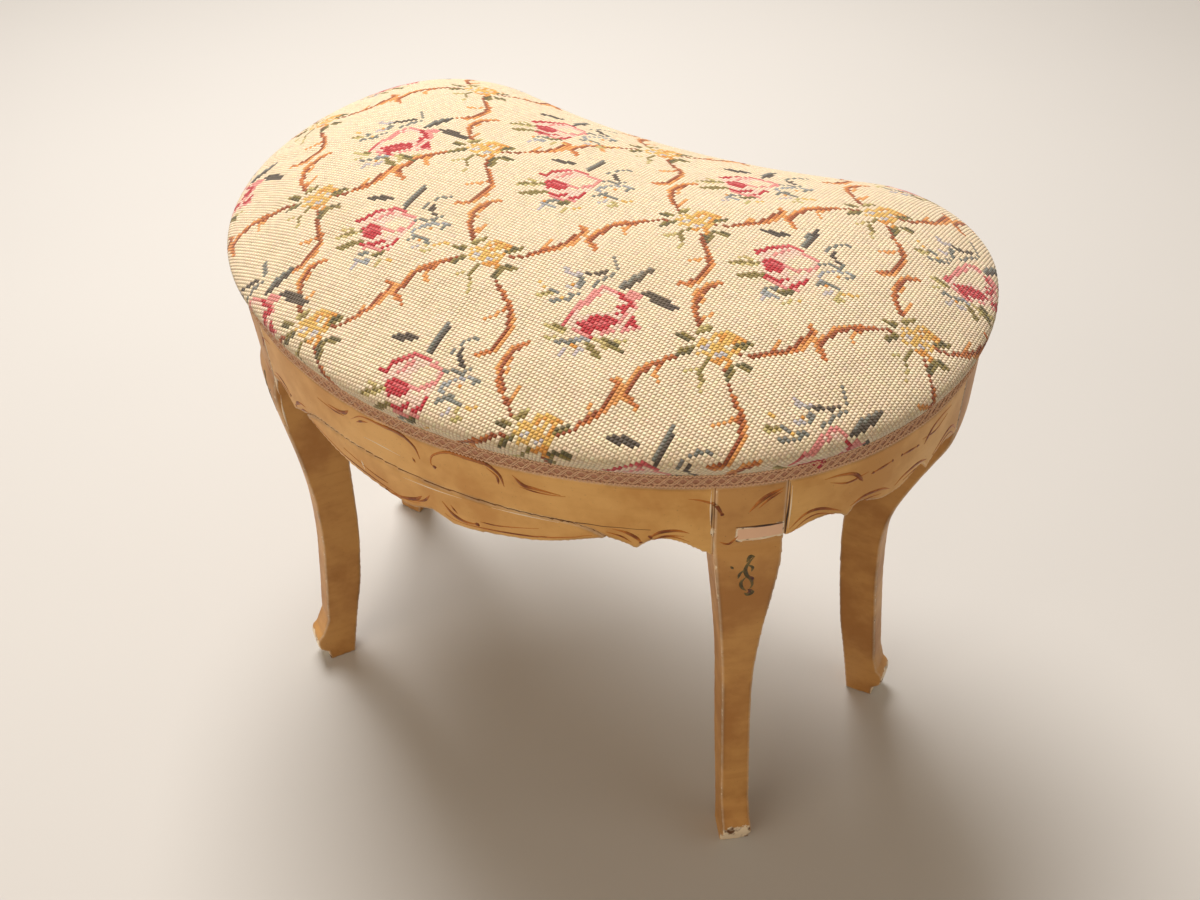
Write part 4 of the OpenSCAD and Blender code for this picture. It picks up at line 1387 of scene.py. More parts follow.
ROSE_CUPPED = (
    Mark(Yarn.BLUSH, 0, ((-20.7, -4.3), (-12.3, 5.9), (-3, 16.7), (6.7, 16.2), (11.6, 12.9), (18.1, 3.8),
         (19.1, -13), (4.2, -13.6), (-6.8, -16.6), (-16.5, -11.6))),
    Mark(Yarn.IVORY, 0, ((-14.4, -3), (-7.6, 7.9), (0.3, 13.2), (7.6, 11.9), (8.6, 3), (5.5, -1.2),
         (-2.5, -0.4), (-12, -3.7))),
    Mark(Yarn.ROSE, 2.8, ((-22, -6.8), (-16.5, 1.3))),
    Mark(Yarn.PINK, 2.6, ((-15.7, 1.8), (-10, 9.1), (-3, 16.5), (1.8, 18.3), (7.1, 15.5))),
    Mark(Yarn.PINK, 2.3, ((-12.2, 2.7), (-6, 10.1), (-2.1, 13.3))),
    Mark(Yarn.PINK, 0, ((13.1, 15.7), (22.8, 12.7), (22.9, 9.3), (18.1, 8.2), (19.8, -0.5), (15.8, 1.7),
         (12.4, 9.5))),
    Mark(Yarn.CRIMSON, 3, ((9.6, 12.9), (12.1, 8.9), (14.9, 5.9))),
    Mark(Yarn.CRIMSON, 2.6, ((9.8, 2.7), (15.8, 2.8))),
    Mark(Yarn.CRIMSON, 2.6, ((12.6, 0.2), (8.7, -2.9))),
    Mark(Yarn.CRIMSON, 0, ((17.8, -2.1), (14.3, -7.2), (10.4, -11.5), (19, -11.5))),
    Mark(Yarn.PINK, 2.3, ((13.5, -3), (8.8, -8.6))),
    Mark(Yarn.CRIMSON, 0, ((-17, -7.5), (-11.1, -5.6), (-2.4, -2.8), (5.9, -4.6), (9, -8.6), (4.1, -11.7),
         (-2.9, -13.8), (-9.3, -11.6))),
    Mark(Yarn.ROSE, 2, ((-11.8, -7.6), (-5.4, -9.3), (0.9, -8.4), (4.9, -9))),
    Mark(Yarn.PINK, 2.6, ((-16.8, -11.6), (-11.6, -15.1), (-5.2, -17.1))),
    Mark(Yarn.CRIMSON, 2.6, ((-11.7, -11.4), (-6.4, -16.3))),
    Mark(Yarn.PINK, 2.4, ((0.3, -14.9), (5.7, -13.6))),
    Mark(Yarn.PINK, 2.4, ((11.3, -13.8), (19.9, -12.8))),
    Mark(Yarn.SLATE, 6, ((10.5, 17.3), (28.2, 32.8)), Yarn.STEEL),
    Mark(Yarn.SLATE, 5.6, ((23.5, 13.6), (42.4, 0.5)), Yarn.SLATE),
    Mark(Yarn.MIST, 3.4, ((-22.1, 33.9), (-19, 30.1), (-14.1, 30.4))),
    Mark(Yarn.SLATE, 2.6, ((-10.8, 29.8), (-3.5, 29.6), (3, 31.6))),
    Mark(Yarn.STEEL, 2.6, ((-14, 27.7), (-13.6, 19.4), (-11.8, 25.2))),
    Mark(Yarn.MIST, 3.4, ((-21.8, 20.4), (-17.3, 20.2))),
    Mark(Yarn.AMBER, 2.6, ((-17.8, 22.5), (-17.5, 22.5))),
    Mark(Yarn.STEEL, 2.3, ((-6.4, 19.7), (-0, 24.9), (7.2, 29))),
    Mark(Yarn.STEEL, 2.2, ((7.9, 32.7), (6.8, 38.4), (5.5, 44.3))),
    Mark(Yarn.SAGE, 3.6, ((-39.3, 14.6), (-30, 15.1)), Yarn.OLIVE),
    Mark(Yarn.STEEL, 2.4, ((-29.8, 17.3), (-26, 14.9))),
    Mark(Yarn.STEEL, 2.6, ((-31.8, 9.7), (-24.5, 9.8), (-18.9, 10.4))),
    Mark(Yarn.GOLD, 2.3, ((-24.5, 12.6), (-24.2, 12.5))),
    Mark(Yarn.STEEL, 2.2, ((-20.3, 13.5), (-15, 13.8))),
    Mark(Yarn.GOLD, 1.9, ((-37.1, 24.1), (-34, 21))),
    Mark(Yarn.SAGE, 3.6, ((-32.2, -7.1), (-20, -12.9)), Yarn.OLIVE),
    Mark(Yarn.SAGE, 2.2, ((-32.1, -16.6), (-27.4, -15.9))),
    Mark(Yarn.STEEL, 2.6, ((-25.9, -18.5), (-20.1, -19.8), (-11.5, -19.3))),
    Mark(Yarn.AMBER, 2.6, ((-15.9, -22.2), (-15.6, -22.3))),
    Mark(Yarn.SKY, 2.3, ((-14.7, -17.7), (-6.7, -19.2))),
    Mark(Yarn.MIST, 2.8, ((-23.8, -27.6), (-20, -24.1))),
    Mark(Yarn.MIST, 3.4, ((-15.2, -26.8), (-11.3, -25.1))),
    Mark(Yarn.OLIVE, 4, ((-9, -21.8), (-1, -31.2)), Yarn.OLIVE),
    Mark(Yarn.OLIVE, 4.6, ((1.1, -18.4), (11.1, -28.4)), Yarn.MOSS),
    Mark(Yarn.SAGE, 2.6, ((-3.6, -19.2), (0.4, -22.3), (1.3, -25.7))),
    Mark(Yarn.SAGE, 2.4, ((8.2, -21.6), (12.6, -21.2))),
)

FLOWER = (
    Mark(Yarn.GOLD, 2.6, ((-5.6, 3.9), (-0.7, 8.7), (5.2, 7.9), (9.9, 2.4), (6.8, -4.9), (1.9, -6.7),
         (-2.8, -1.5), (-5.6, 3.9))),
    Mark(Yarn.AMBER, 2.3, ((-0.8, 0.4), (-0.2, 5.9), (4.7, 6), (8, 1.5), (4.9, -3.7), (0.1, -2.7))),
    Mark(Yarn.MIST, 2.6, ((1.6, 1.7), (4.6, 2.3))),
    Mark(Yarn.AMBER, 2.2, ((9, 5.2), (12.9, 3.4))),
    Mark(Yarn.GOLD, 2.3, ((-15.4, -1.1), (-11.5, 1.1), (-8.1, 3))),
    Mark(Yarn.GOLD, 2.6, ((-12, -4.2), (-5.8, -5), (-5.7, -1))),
    Mark(Yarn.MIST, 2.3, ((-9.6, -1), (-7.2, -1))),
    Mark(Yarn.AMBER, 2.2, ((-4.9, -9.4), (-0.6, -11.1))),
    Mark(Yarn.GOLD, 2, ((-12, 4.3), (-8.5, 5.1))),
    Mark(Yarn.OLIVE, 3.6, ((-16.3, 5), (-24.6, 7.8)), Yarn.MOSS),
    Mark(Yarn.OLIVE, 4.2, ((-15.4, -1.1), (-24.9, -5.7)), Yarn.MOSS),
    Mark(Yarn.OLIVE, 4, ((-13.4, 8.7), (-5.5, 12.7)), Yarn.SAGE),
    Mark(Yarn.OLIVE, 2.3, ((-7, -9), (-12.1, -15.3), (-10.8, -22.7))),
    Mark(Yarn.SAGE, 2.2, ((-14.5, -14.8), (-20.7, -16.5))),
    Mark(Yarn.SAGE, 2, ((-11.2, -24.4), (-12.5, -29.9))),
    Mark(Yarn.OLIVE, 4, ((8.8, -1), (17.4, 1.6)), Yarn.MOSS),
    Mark(Yarn.OLIVE, 4.2, ((8.1, -12.7), (17.2, -15.7)), Yarn.MOSS),
    Mark(Yarn.MOSS, 5, ((5.3, -12.8), (3.5, -23.4)), Yarn.OLIVE),
    Mark(Yarn.GOLD, 3, ((-2.3, 0.5), (2.3, 1.6), (5.8, 5.8))),
    Mark(Yarn.GOLD, 2.8, ((-3.6, -0.9), (4.8, -4.3))),
    Mark(Yarn.MIST, 2.8, ((-1.8, -5.6), (1.3, -5.5))),
    Mark(Yarn.AMBER, 2.6, ((-1.5, -8.8), (3.8, -9.9), (2.7, -14))),
)


@dataclass
class NeedleworkChart:
    """A trellis of leafy scrolls with a flower at each crossing and a rose in each cell.

    Places are millimetres on the flat canvas, read off the seat. The maker worked the
    crossings and the roses a little off an even lattice, which the two tables of moves follow.
    """

    middle: tuple[float, float] = (-8.4, -63.9)
    step_right: tuple[float, float] = (86.8, 80.4)
    step_left: tuple[float, float] = (-68.3, 93.1)
    lean: float = 27.3
    moved_crossings: dict = field(default_factory=lambda: {
        (0, 0): (-9, 0), (0, 1): (-5, 2), (-1, 1): (6, -1), (1, 0): (1, 2), (0, -1): (10, -4),
        (-1, 0): (0, -1), (1, -1): (-10, 6), (2, -1): (0, -1), (2, 0): (7, -4)})
    moved_roses: dict = field(default_factory=lambda: {
        (0, 0): (-11, -6), (-1, 0): (-6, -11), (-1, 1): (15, -19), (0, 1): (5, -25), (0, -1): (-3, -9),
        (-1, -1): (5, -12), (-2, 0): (25, -15), (0, -2): (-1, -8), (1, -1): (-11, -6), (1, 0): (-3, -21),
        (2, -1): (1, -15), (1, -2): (-2, -17)})
    open_roses: tuple = ((-1, 0), (0, 0), (1, -1), (-1, -1), (0, -2), (0, 1), (1, 0))

    def __post_init__(self) -> None:
        """Starts with bare ground."""
        self.yarns = list(Yarn)
        self.spots = np.zeros((0, 2))
        self.ink = np.zeros(0, int)

    def lattice(self, i: float, j: float) -> np.ndarray:
        """A place of the even lattice, in steps to the right and to the left."""
        return np.array(self.middle) + i * np.array(self.step_right) + j * np.array(self.step_left)

    def crossing(self, i: int, j: int) -> np.ndarray:
        """Place of a crossing of the trellis."""
        return self.lattice(i, j) + np.array(self.moved_crossings.get((i, j), (0, 0)))

    def rose_place(self, i: int, j: int) -> np.ndarray:
        """Place of the rose in the cell behind a crossing."""
        return self.lattice(i + 0.5, j + 0.5) + np.array(self.moved_roses.get((i, j), (-3, -10)))

    def near(self, line: np.ndarray, reach: float) -> np.ndarray:
        """Numbers of the stitches within reach of the box round a line."""
        low, high = line.min(0) - reach, line.max(0) + reach
        return np.nonzero(((self.spots > low) & (self.spots < high)).all(1))[0]

    def dye(self, rows: np.ndarray, yarn: Yarn) -> None:
        """Gives stitches a wool."""
        self.ink[rows] = self.yarns.index(yarn)

    def along(self, line: np.ndarray, half: np.ndarray) -> tuple[np.ndarray, np.ndarray, np.ndarray]:
        """Finds the stitches that a line of changing width covers.

        Args:
            line: Points along its middle.
            half: Half its width at each point.

        Returns:
            The stitches' numbers, their share of the way along and their side, left positive.
        """
        rows = self.near(line, float(half.max()) + 1)
        gaps = self.spots[rows][:, None, :] - line[None, :, :]
        far = np.hypot(gaps[..., 0], gaps[..., 1])
        k = (far - half[None, :]).argmin(1)
        ahead = np.gradient(line, axis=0)
        off = gaps[np.arange(len(rows)), k]
        side = (ahead[k, 0] * off[:, 1] - ahead[k, 1] * off[:, 0]) / np.hypot(*ahead[k].T)
        covered = far[np.arange(len(rows)), k] <= half[k]
        return rows[covered], (k / (len(line) - 1))[covered], side[covered]

    def patch(self, corners: np.ndarray, yarn: Yarn) -> None:
        """Fills a closed outline with one wool.

        Args:
            corners: The outline's corners.
            yarn: The wool.
        """
        rows = self.near(corners, 1)
        spots = self.spots[rows]
        inside = np.zeros(len(rows), bool)
        for a, b in zip(corners, np.roll(corners, -1, 0)):
            rises = (a[1] > spots[:, 1]) != (b[1] > spots[:, 1])
            with np.errstate(divide="ignore", invalid="ignore"):
                meets = a[0] + (spots[:, 1] - a[1]) * (b[0] - a[0]) / (b[1] - a[1])
            inside ^= rises & (spots[:, 0] < meets)
        self.dye(rows[inside], yarn)

    def motif(self, place: np.ndarray, marks: tuple[Mark, ...]) -> None:
        """Works the marks of a motif round its middle.

        Args:
            place: Its middle on the canvas.
            marks: Its marks, in the order they are worked.
        """
        c, s = math.cos(math.radians(self.lean)), math.sin(math.radians(self.lean))
        turn = np.array([[c, s], [-s, c]])
        for one in marks:
            points = place + np.array(one.points) @ turn
            if not len(self.near(points, 4)):
                continue
            if one.width == 0:
                self.patch(points, one.yarn)
            elif one.second:
                line = np.linspace(points[0], points[-1], 24)
                half = one.width / 2 * np.sin(np.linspace(0.08, 0.97, 24) * math.pi) ** 0.7
                rows, _, side = self.along(line, half + 0.3)
                self.dye(rows, one.yarn)
                self.dye(rows[side > 0.25], one.second)
            else:
                line = smooth_line(points, 8) if len(points) > 2 else np.linspace(points[0], points[-1], 12)
                rows, _, _ = self.along(line, np.full(len(line), one.width / 2))
                self.dye(rows, one.yarn)

    def scroll(self, points: list, width: float, dark_side: int) -> None:
        """Works a curling stem from its thin root to its thick tip, dark along one side.

        Args:
            points: Places along the stem.
            width: Its width at the tip.
            dark_side: 1 where its left is dark, -1 where its right is.
        """
        line = smooth_line(points, 8)
        if not len(self.near(line, width)):
            return
        shares = np.linspace(0, 1, len(line))
        half = 1.05 + (width / 2 - 1.05) * np.clip((shares - 0.1) / 0.45, 0, 1)
        half *= 1 - 0.45 * np.clip((shares - 0.85) / 0.15, 0, 1)
        rows, t, side = self.along(line, half)
        dark = (side * dark_side > 0.3) | (t < 0.2)
        self.dye(rows, Yarn.APRICOT)
        self.dye(rows[(np.abs(side) < 0.9) | (t < 0.45)], Yarn.COPPER)
        self.dye(rows[dark & (t < 0.86)], Yarn.RUST)
        self.dye(rows[dark & (t >= 0.86)], Yarn.COPPER)

    def barb(self, points: list, width: float) -> None:
        """Works a thorny leaf that leaves a stem and tapers to its tip."""
        line = smooth_line(points, 8)
        half = width / 2 * (1 - 0.45 * np.linspace(0, 1, len(line)))
        rows, t, _ = self.along(line, half)
        self.dye(rows, Yarn.APRICOT)
        self.dye(rows[t < 0.3], Yarn.COPPER)

    def strand(self, a: np.ndarray, b: np.ndarray, curls: tuple, barbs: tuple, dark_side: int) -> None:
        """Works one side of a cell: two curls that meet in the middle, each with thorny leaves.

        Args:
            a: The crossing where it starts.
            b: The crossing where it ends.
            curls: Places along each curl, as shares of the length.
            barbs: Such places and the width of each leaf.
            dark_side: 1 where its left is dark, -1 where its right is.
        """
        length = np.linalg.norm(b - a)
        ahead = (b - a) / length
        left = np.array([-ahead[1], ahead[0]])
        for points, width in barbs:
            self.barb([a + (ahead * s + left * o) * length for s, o in points], width)
        for points in curls:
            self.scroll([a + (ahead * s + left * o) * length for s, o in points], 4.9, dark_side)

    def work(self, spots: np.ndarray) -> np.ndarray:
        """Gives every stitch its wool.

        Args:
            spots: The stitches' places on the canvas, in millimetres.

        Returns:
            A linear colour for each stitch.
        """
        self.spots, self.ink = spots, np.zeros(len(spots), int)
        right_curls = (
            ((0.072, -0.054), (0.129, -0.077), (0.197, -0.072), (0.258, -0.07), (0.312, -0.06),
             (0.362, -0.034), (0.414, 0.005), (0.451, 0.033), (0.433, 0.07)),
            ((0.852, 0.03), (0.808, 0.044), (0.754, 0.046), (0.692, 0.049), (0.63, 0.052), (0.566, 0.041),
             (0.514, 0.008), (0.454, -0.034), (0.457, -0.071), (0.468, -0.126)))
        right_barbs = (
            (((0.236, -0.064), (0.257, -0.036), (0.284, -0.006)), 3.6),
            (((0.311, -0.066), (0.381, -0.052), (0.451, -0.004)), 3.4),
            (((0.69, 0.04), (0.63, 0.006), (0.629, -0.048)), 3.6),
            (((0.52, 0.0), (0.47, -0.01), (0.44, -0.05)), 3.2))
        down_curls = (
            ((0.129, -0.012), (0.217, -0.011), (0.279, 0.0), (0.355, 0.015), (0.418, 0.009), (0.484, -0.025),
             (0.529, -0.071), (0.561, -0.118), (0.552, -0.181)),
            ((0.913, -0.088), (0.84, -0.102), (0.782, -0.109), (0.714, -0.105), (0.655, -0.09),
             (0.608, -0.052), (0.575, 0.003), (0.571, 0.059)))
        down_barbs = (
            (((0.35, 0.008), (0.374, -0.043), (0.378, -0.117)), 3.2),
            (((0.842, -0.097), (0.812, -0.062), (0.776, -0.023)), 3.6),
            (((0.60, -0.03), (0.655, -0.052), (0.70, -0.07)), 3.0))
        cells = [(i, j) for i in range(-4, 5) for j in range(-4, 5)]
        for i, j in cells:
            self.strand(self.crossing(i, j), self.crossing(i + 1, j), right_curls, right_barbs, 1)
            self.strand(self.crossing(i, j), self.crossing(i, j - 1), down_curls, down_barbs, -1)
        for i, j in cells:
            self.motif(self.crossing(i, j), FLOWER)
            self.motif(self.rose_place(i, j), ROSE_OPEN if (i, j) in self.open_roses else ROSE_CUPPED)
        wools = np.array([linear(y.value) for y in self.yarns])
        dyed = wools[self.ink].copy()
        rng = np.random.default_rng(7)
        dyed[:, :3] *= (1 + 0.05 * rng.standard_normal((len(spots), 1))).clip(0.86, 1.12)
        dyed[:, :3] *= 1 + 0.02 * rng.standard_normal((len(spots), 3))
        return dyed.clip(0, 1)


# The upholstered seat


@dataclass
class SeatDome:
    """The seat's padded form: a plump upright wall over the braid, then a dome up to the crown."""

    seat_line: float = 0.355
    braid_top: float = 0.010
    wall_top: float = 0.020
    bulge: float = 0.0045
    crown_rise: float = 0.060
    reach: float = 0.150
    fullness: float = 2.4
    shoulder: float = 1.4
    calm_from: float = 0.02
    calm_over: float = 0.03
    calm_passes: int = 60
    half_length: float = 0.31
    half_depth: float = 0.23
    tuck_start: tuple[float, float] = (0.2108, -0.0854)
    tuck_end: tuple[float, float] = (0.2260, -0.1015)
    tuck_lift: float = 0.0016
    tuck_reach: float = 0.007
    tuck_out: float = 0.75
    tuck_up: float = 0.65
    pad_moves: tuple | None = None

    def __post_init__(self) -> None:
        """Lays out the section once: run along the cloth, inset from the outline and rise."""
        climb = np.linspace(0, 1, 12)[:-1]
        turn = np.linspace(0, math.pi / 2, 160)
        over = self.reach - (self.reach + self.bulge) * np.cos(turn) ** (2 / self.fullness)
        top = self.wall_top + (self.crown_rise - self.wall_top) * np.sin(turn) ** (2 / self.shoulder)
        inset = np.r_[0.0008, 0.0005, -self.bulge * np.sin(climb * math.pi / 2), over]
        rise = np.r_[0.0003, 0.006, self.braid_top + (self.wall_top - self.braid_top) * climb, top]
        run = np.r_[0, np.cumsum(np.hypot(np.diff(inset), np.diff(rise)))]
        self.section = (run, inset, rise)
        self.hang = run[-1] - self.reach

    def settle(self, cloth: np.ndarray, low_run: float, snap: np.ndarray, sink: float,
               grid: tuple[int, int]) -> np.ndarray:
        """Lays flat cloth over the dome.

        Args:
            cloth: Places on the flat cloth, in metres, row by row of a grid.
            low_run: Height along the cloth at which its edge lies.
            snap: Which places lie on that edge.
            sink: How far under the cover's surface this layer lies.
            grid: Rows and columns of the grid.

        Returns:
            The places in space.
        """
        gap, out = PLAN.inset_of(cloth)
        run = gap + self.hang
        run = np.where(snap, low_run, run)
        known_run, known_inset, known_rise = self.section
        inset = np.where(run > known_run[-1], gap, np.interp(run, known_run, known_inset))
        rise = np.interp(run, known_run, known_rise)
        foot = cloth + out * gap[:, None]
        spread = np.exp(-inset / 0.03)
        flat = foot - out * (inset + sink * spread)[:, None]
        tuck = self.tuck(cloth)
        flat += out * (tuck * self.tuck_out)[:, None]
        depth = sink * (1 - 0.75 * np.exp(-np.maximum(inset, 0) / 0.004))
        height = (rise + tuck * self.tuck_up - depth).reshape(grid)
        calm = np.clip((gap.reshape(grid) - self.calm_from) / self.calm_over, 0, 1)
        for _ in range(self.calm_passes):
            spread_height = (np.roll(height, 1, 0) + np.roll(height, -1, 0) + np.roll(height, 1, 1)
                             + np.roll(height, -1, 1)) / 4
            height = height + calm * (spread_height - height)
        return np.c_[flat, self.seat_line + height.ravel()]

    def tuck(self, cloth: np.ndarray) -> np.ndarray:
        """How far the pinched fold at the right front lifts the cloth, sharp along one side.

        Args:
            cloth: Places on the flat cloth, in metres.

        Returns:
            The lift of each place.
        """
        start, end = np.array(self.tuck_start), np.array(self.tuck_end)
        length = np.linalg.norm(end - start)
        ahead = (end - start) / length
        along = (cloth - start) @ ahead
        side = ahead[0] * (cloth - start)[:, 1] - ahead[1] * (cloth - start)[:, 0]
        fade = np.clip(along / 0.012, 0, 1) * np.clip((length + 0.016 - along) / 0.004, 0, 1)
        return np.where(side < 0, self.tuck_lift * np.exp(side / self.tuck_reach), 0.0) * fade

    def layer(self, name: str, pitch: float, sink: float, low_run: float,
              turn: float = -3.7) -> tuple[bpy.types.Object, np.ndarray]:
        """Makes one cloth layer of the seat, its threads along the turned grid.

        Args:
            name: The piece's name.
            pitch: Thread pitch, one face each.
            sink: How far under the cover's surface it lies.
            low_run: Height along the cloth of its lower edge.
            turn: How far the grid is turned, in degrees.

        Returns:
            The piece and the middle of each outer face on the flat cloth, in millimetres.
        """
        a = math.radians(turn)
        across, up = np.array([math.cos(a), math.sin(a)]), np.array([-math.sin(a), math.cos(a)])
        columns, rows = int(self.half_length / pitch), int(self.half_depth / pitch)
        u = np.arange(-columns, columns + 1)
        v = np.arange(-rows, rows + 1)
        grid_v, grid_u = np.meshgrid(v, u, indexing="ij")
        shape = grid_u.shape
        cloth = (grid_u.ravel()[:, None] * across + grid_v.ravel()[:, None] * up) * pitch
        gap, _ = PLAN.inset_of(cloth)
        inside = (gap + self.hang > low_run - 0.42 * pitch).reshape(shape)
        keep, uses, faces = cut_grid(inside)
        rim = ((uses > 0) & (uses < 4)).ravel()
        places = self.settle(cloth, low_run, rim, sink, shape)
        if self.pad_moves:
            places = places + self.moved_by_pad(places, uses.ravel() > 0)
        r, c = np.nonzero(keep)
        piece = new_piece(name, places[(uses > 0).ravel()], faces)
        uv = piece.data.uv_layers.new(name="canvas")
        corner = np.stack([np.c_[c, r], np.c_[c + 1, r], np.c_[c + 1, r + 1], np.c_[c, r + 1]], 1)
        uv.data.foreach_set("uv", corner.reshape(-1).astype(np.float32))
        middles = cloth.reshape(shape + (2,))
        middles = (middles[:-1, :-1] + middles[1:, 1:])[keep] / 2 / MM
        return piece, middles

    def moved_by_pad(self, places: np.ndarray, used: np.ndarray) -> np.ndarray:
        """How the swollen pad pushes each place of the cloth.

        Args:
            places: The cloth's places in space.
            used: Which of them the layer uses.

        Returns:
            The push on each place.
        """
        tree, moves = self.pad_moves
        shift = np.zeros_like(places)
        for k in np.nonzero(used)[0]:
            found = tree.find_n(places[k], 5)
            weight = np.array([1 / (f[2] + 0.003) for f in found])
            shift[k] = (moves[[f[1] for f in found]] * weight[:, None]).sum(0) / weight.sum()
        calm = np.clip((places[:, 2] - self.seat_line - 0.001) / 0.009, 0, 1)
        return shift * calm[:, None]


@dataclass
class Upholstery:
    """Everything soft: the pad, its wadding, the needlework cover and the layers that carry them."""

    dome: SeatDome
    effects: SharedEffects
    stitch: float = 0.0023
    swell_cap: float = 0.0045
    swell_frames: int = 20
    held_height: float = 0.006
    pad_voxel: float = 0.005
    wadding_pitch: float = 0.006
    wadding_thick: float = 0.003
    wadding_depth: float = 0.0022
    wadding_hem: float = 0.006
    cover_thick: float = 0.0016
    cover_hem: float = 0.0003

    def build_pad(self) -> bpy.types.Object:
        """The stuffing: remeshed, swollen by a cloth simulation with a cap, and smoothed.

        Returns:
            The pad.
        """
        pad = merged_copy("stuffing", "hair_pad")
        finish_modifier(pad, "REMESH", mode="VOXEL", voxel_size=self.pad_voxel, use_smooth_shade=True)
        finish_modifier(pad, "SMOOTH", factor=0.5, iterations=4)
        before = points_of(pad)
        only(pad)
        cloth = pad.modifiers.new("cloth", "CLOTH")
        for key, value in (("quality", 6), ("mass", 0.2), ("tension_stiffness", 14),
                           ("compression_stiffness", 14), ("bending_stiffness", 0.6),
                           ("use_pressure", True), ("uniform_pressure_force", 4.0)):
            setattr(cloth.settings, key, value)
        cloth.settings.effector_weights.gravity = 0
        fixed = pad.vertex_groups.new(name="fixed")
        floor = float(before[:, 2].min()) + self.held_height
        fixed.add([k for k, p in enumerate(before) if p[2] < floor], 1.0, "REPLACE")
        cloth.settings.vertex_group_mass = "fixed"
        scene = bpy.context.scene
        scene.frame_start, scene.frame_end = 1, self.swell_frames
        for number in range(1, self.swell_frames + 1):
            scene.frame_set(number)
        bpy.ops.object.modifier_apply(modifier="cloth")
        scene.frame_set(1)
        after = points_of(pad)
        moves = after - before
        length = np.maximum(np.linalg.norm(moves, axis=1, keepdims=True), 1e-9)
        moves *= np.minimum(1, self.swell_cap / length)
        moves[:, 2] = np.where(before[:, 2] < floor, 0, moves[:, 2])
        set_points(pad, before + moves)
        log.info("hair_pad swelled %.1f mm at most", float(np.linalg.norm(moves, axis=1).max()) / MM)
        self.dome.pad_moves = (tree_of(list(before)), moves)
        finish_modifier(pad, "SUBSURF", levels=1, render_levels=1)
        smoothed(pad)
        hair = CordFinish("matted hair", (0.60, 0.47, 0.32), (0.31, 0.22, 0.14), 500.0).make()
        dress(pad, hair, "stuffing")
        return pad

    def build_wadding(self) -> bpy.types.Object:
        """Cotton wadding between the pad and the cover."""
        layer, _ = self.dome.layer("cotton_wadding", self.wadding_pitch, self.wadding_depth, self.wadding_hem)
        finish_modifier(layer, "SOLIDIFY", thickness=self.wadding_thick, offset=-1.0)
        smoothed(layer, 60)
        cotton = CordFinish("cotton wadding", (0.93, 0.91, 0.86), (0.80, 0.76, 0.68), 350.0).make()
        return dress(layer, cotton, "wadding")

    def build_cover(self) -> bpy.types.Object:
        """The needlework cover: one face for each stitch, worked from the chart.

        Returns:
            The cover.
        """
        cover, middles = self.dome.layer("needlework_seat", self.stitch, 0.0, self.cover_hem)
        dyed = NeedleworkChart().work(middles)
        layer = cover.data.color_attributes.new(name="yarn", type="FLOAT_COLOR", domain="CORNER")
        layer.data.foreach_set("color", np.repeat(dyed, 4, axis=0).astype(np.float32).ravel())
        finish_modifier(cover, "SOLIDIFY", thickness=self.cover_thick, offset=-1.0)
        smoothed(cover, 60)
        dress(cover, StitchFinish().make(), "needlework_cover")
        log.info("needlework_seat: %d stitches", len(middles))
        return cover

    def build(self) -> None:
        """Builds the soft layers from the inside out."""
        self.build_pad()
        self.build_wadding()
        self.build_cover()


# The braid


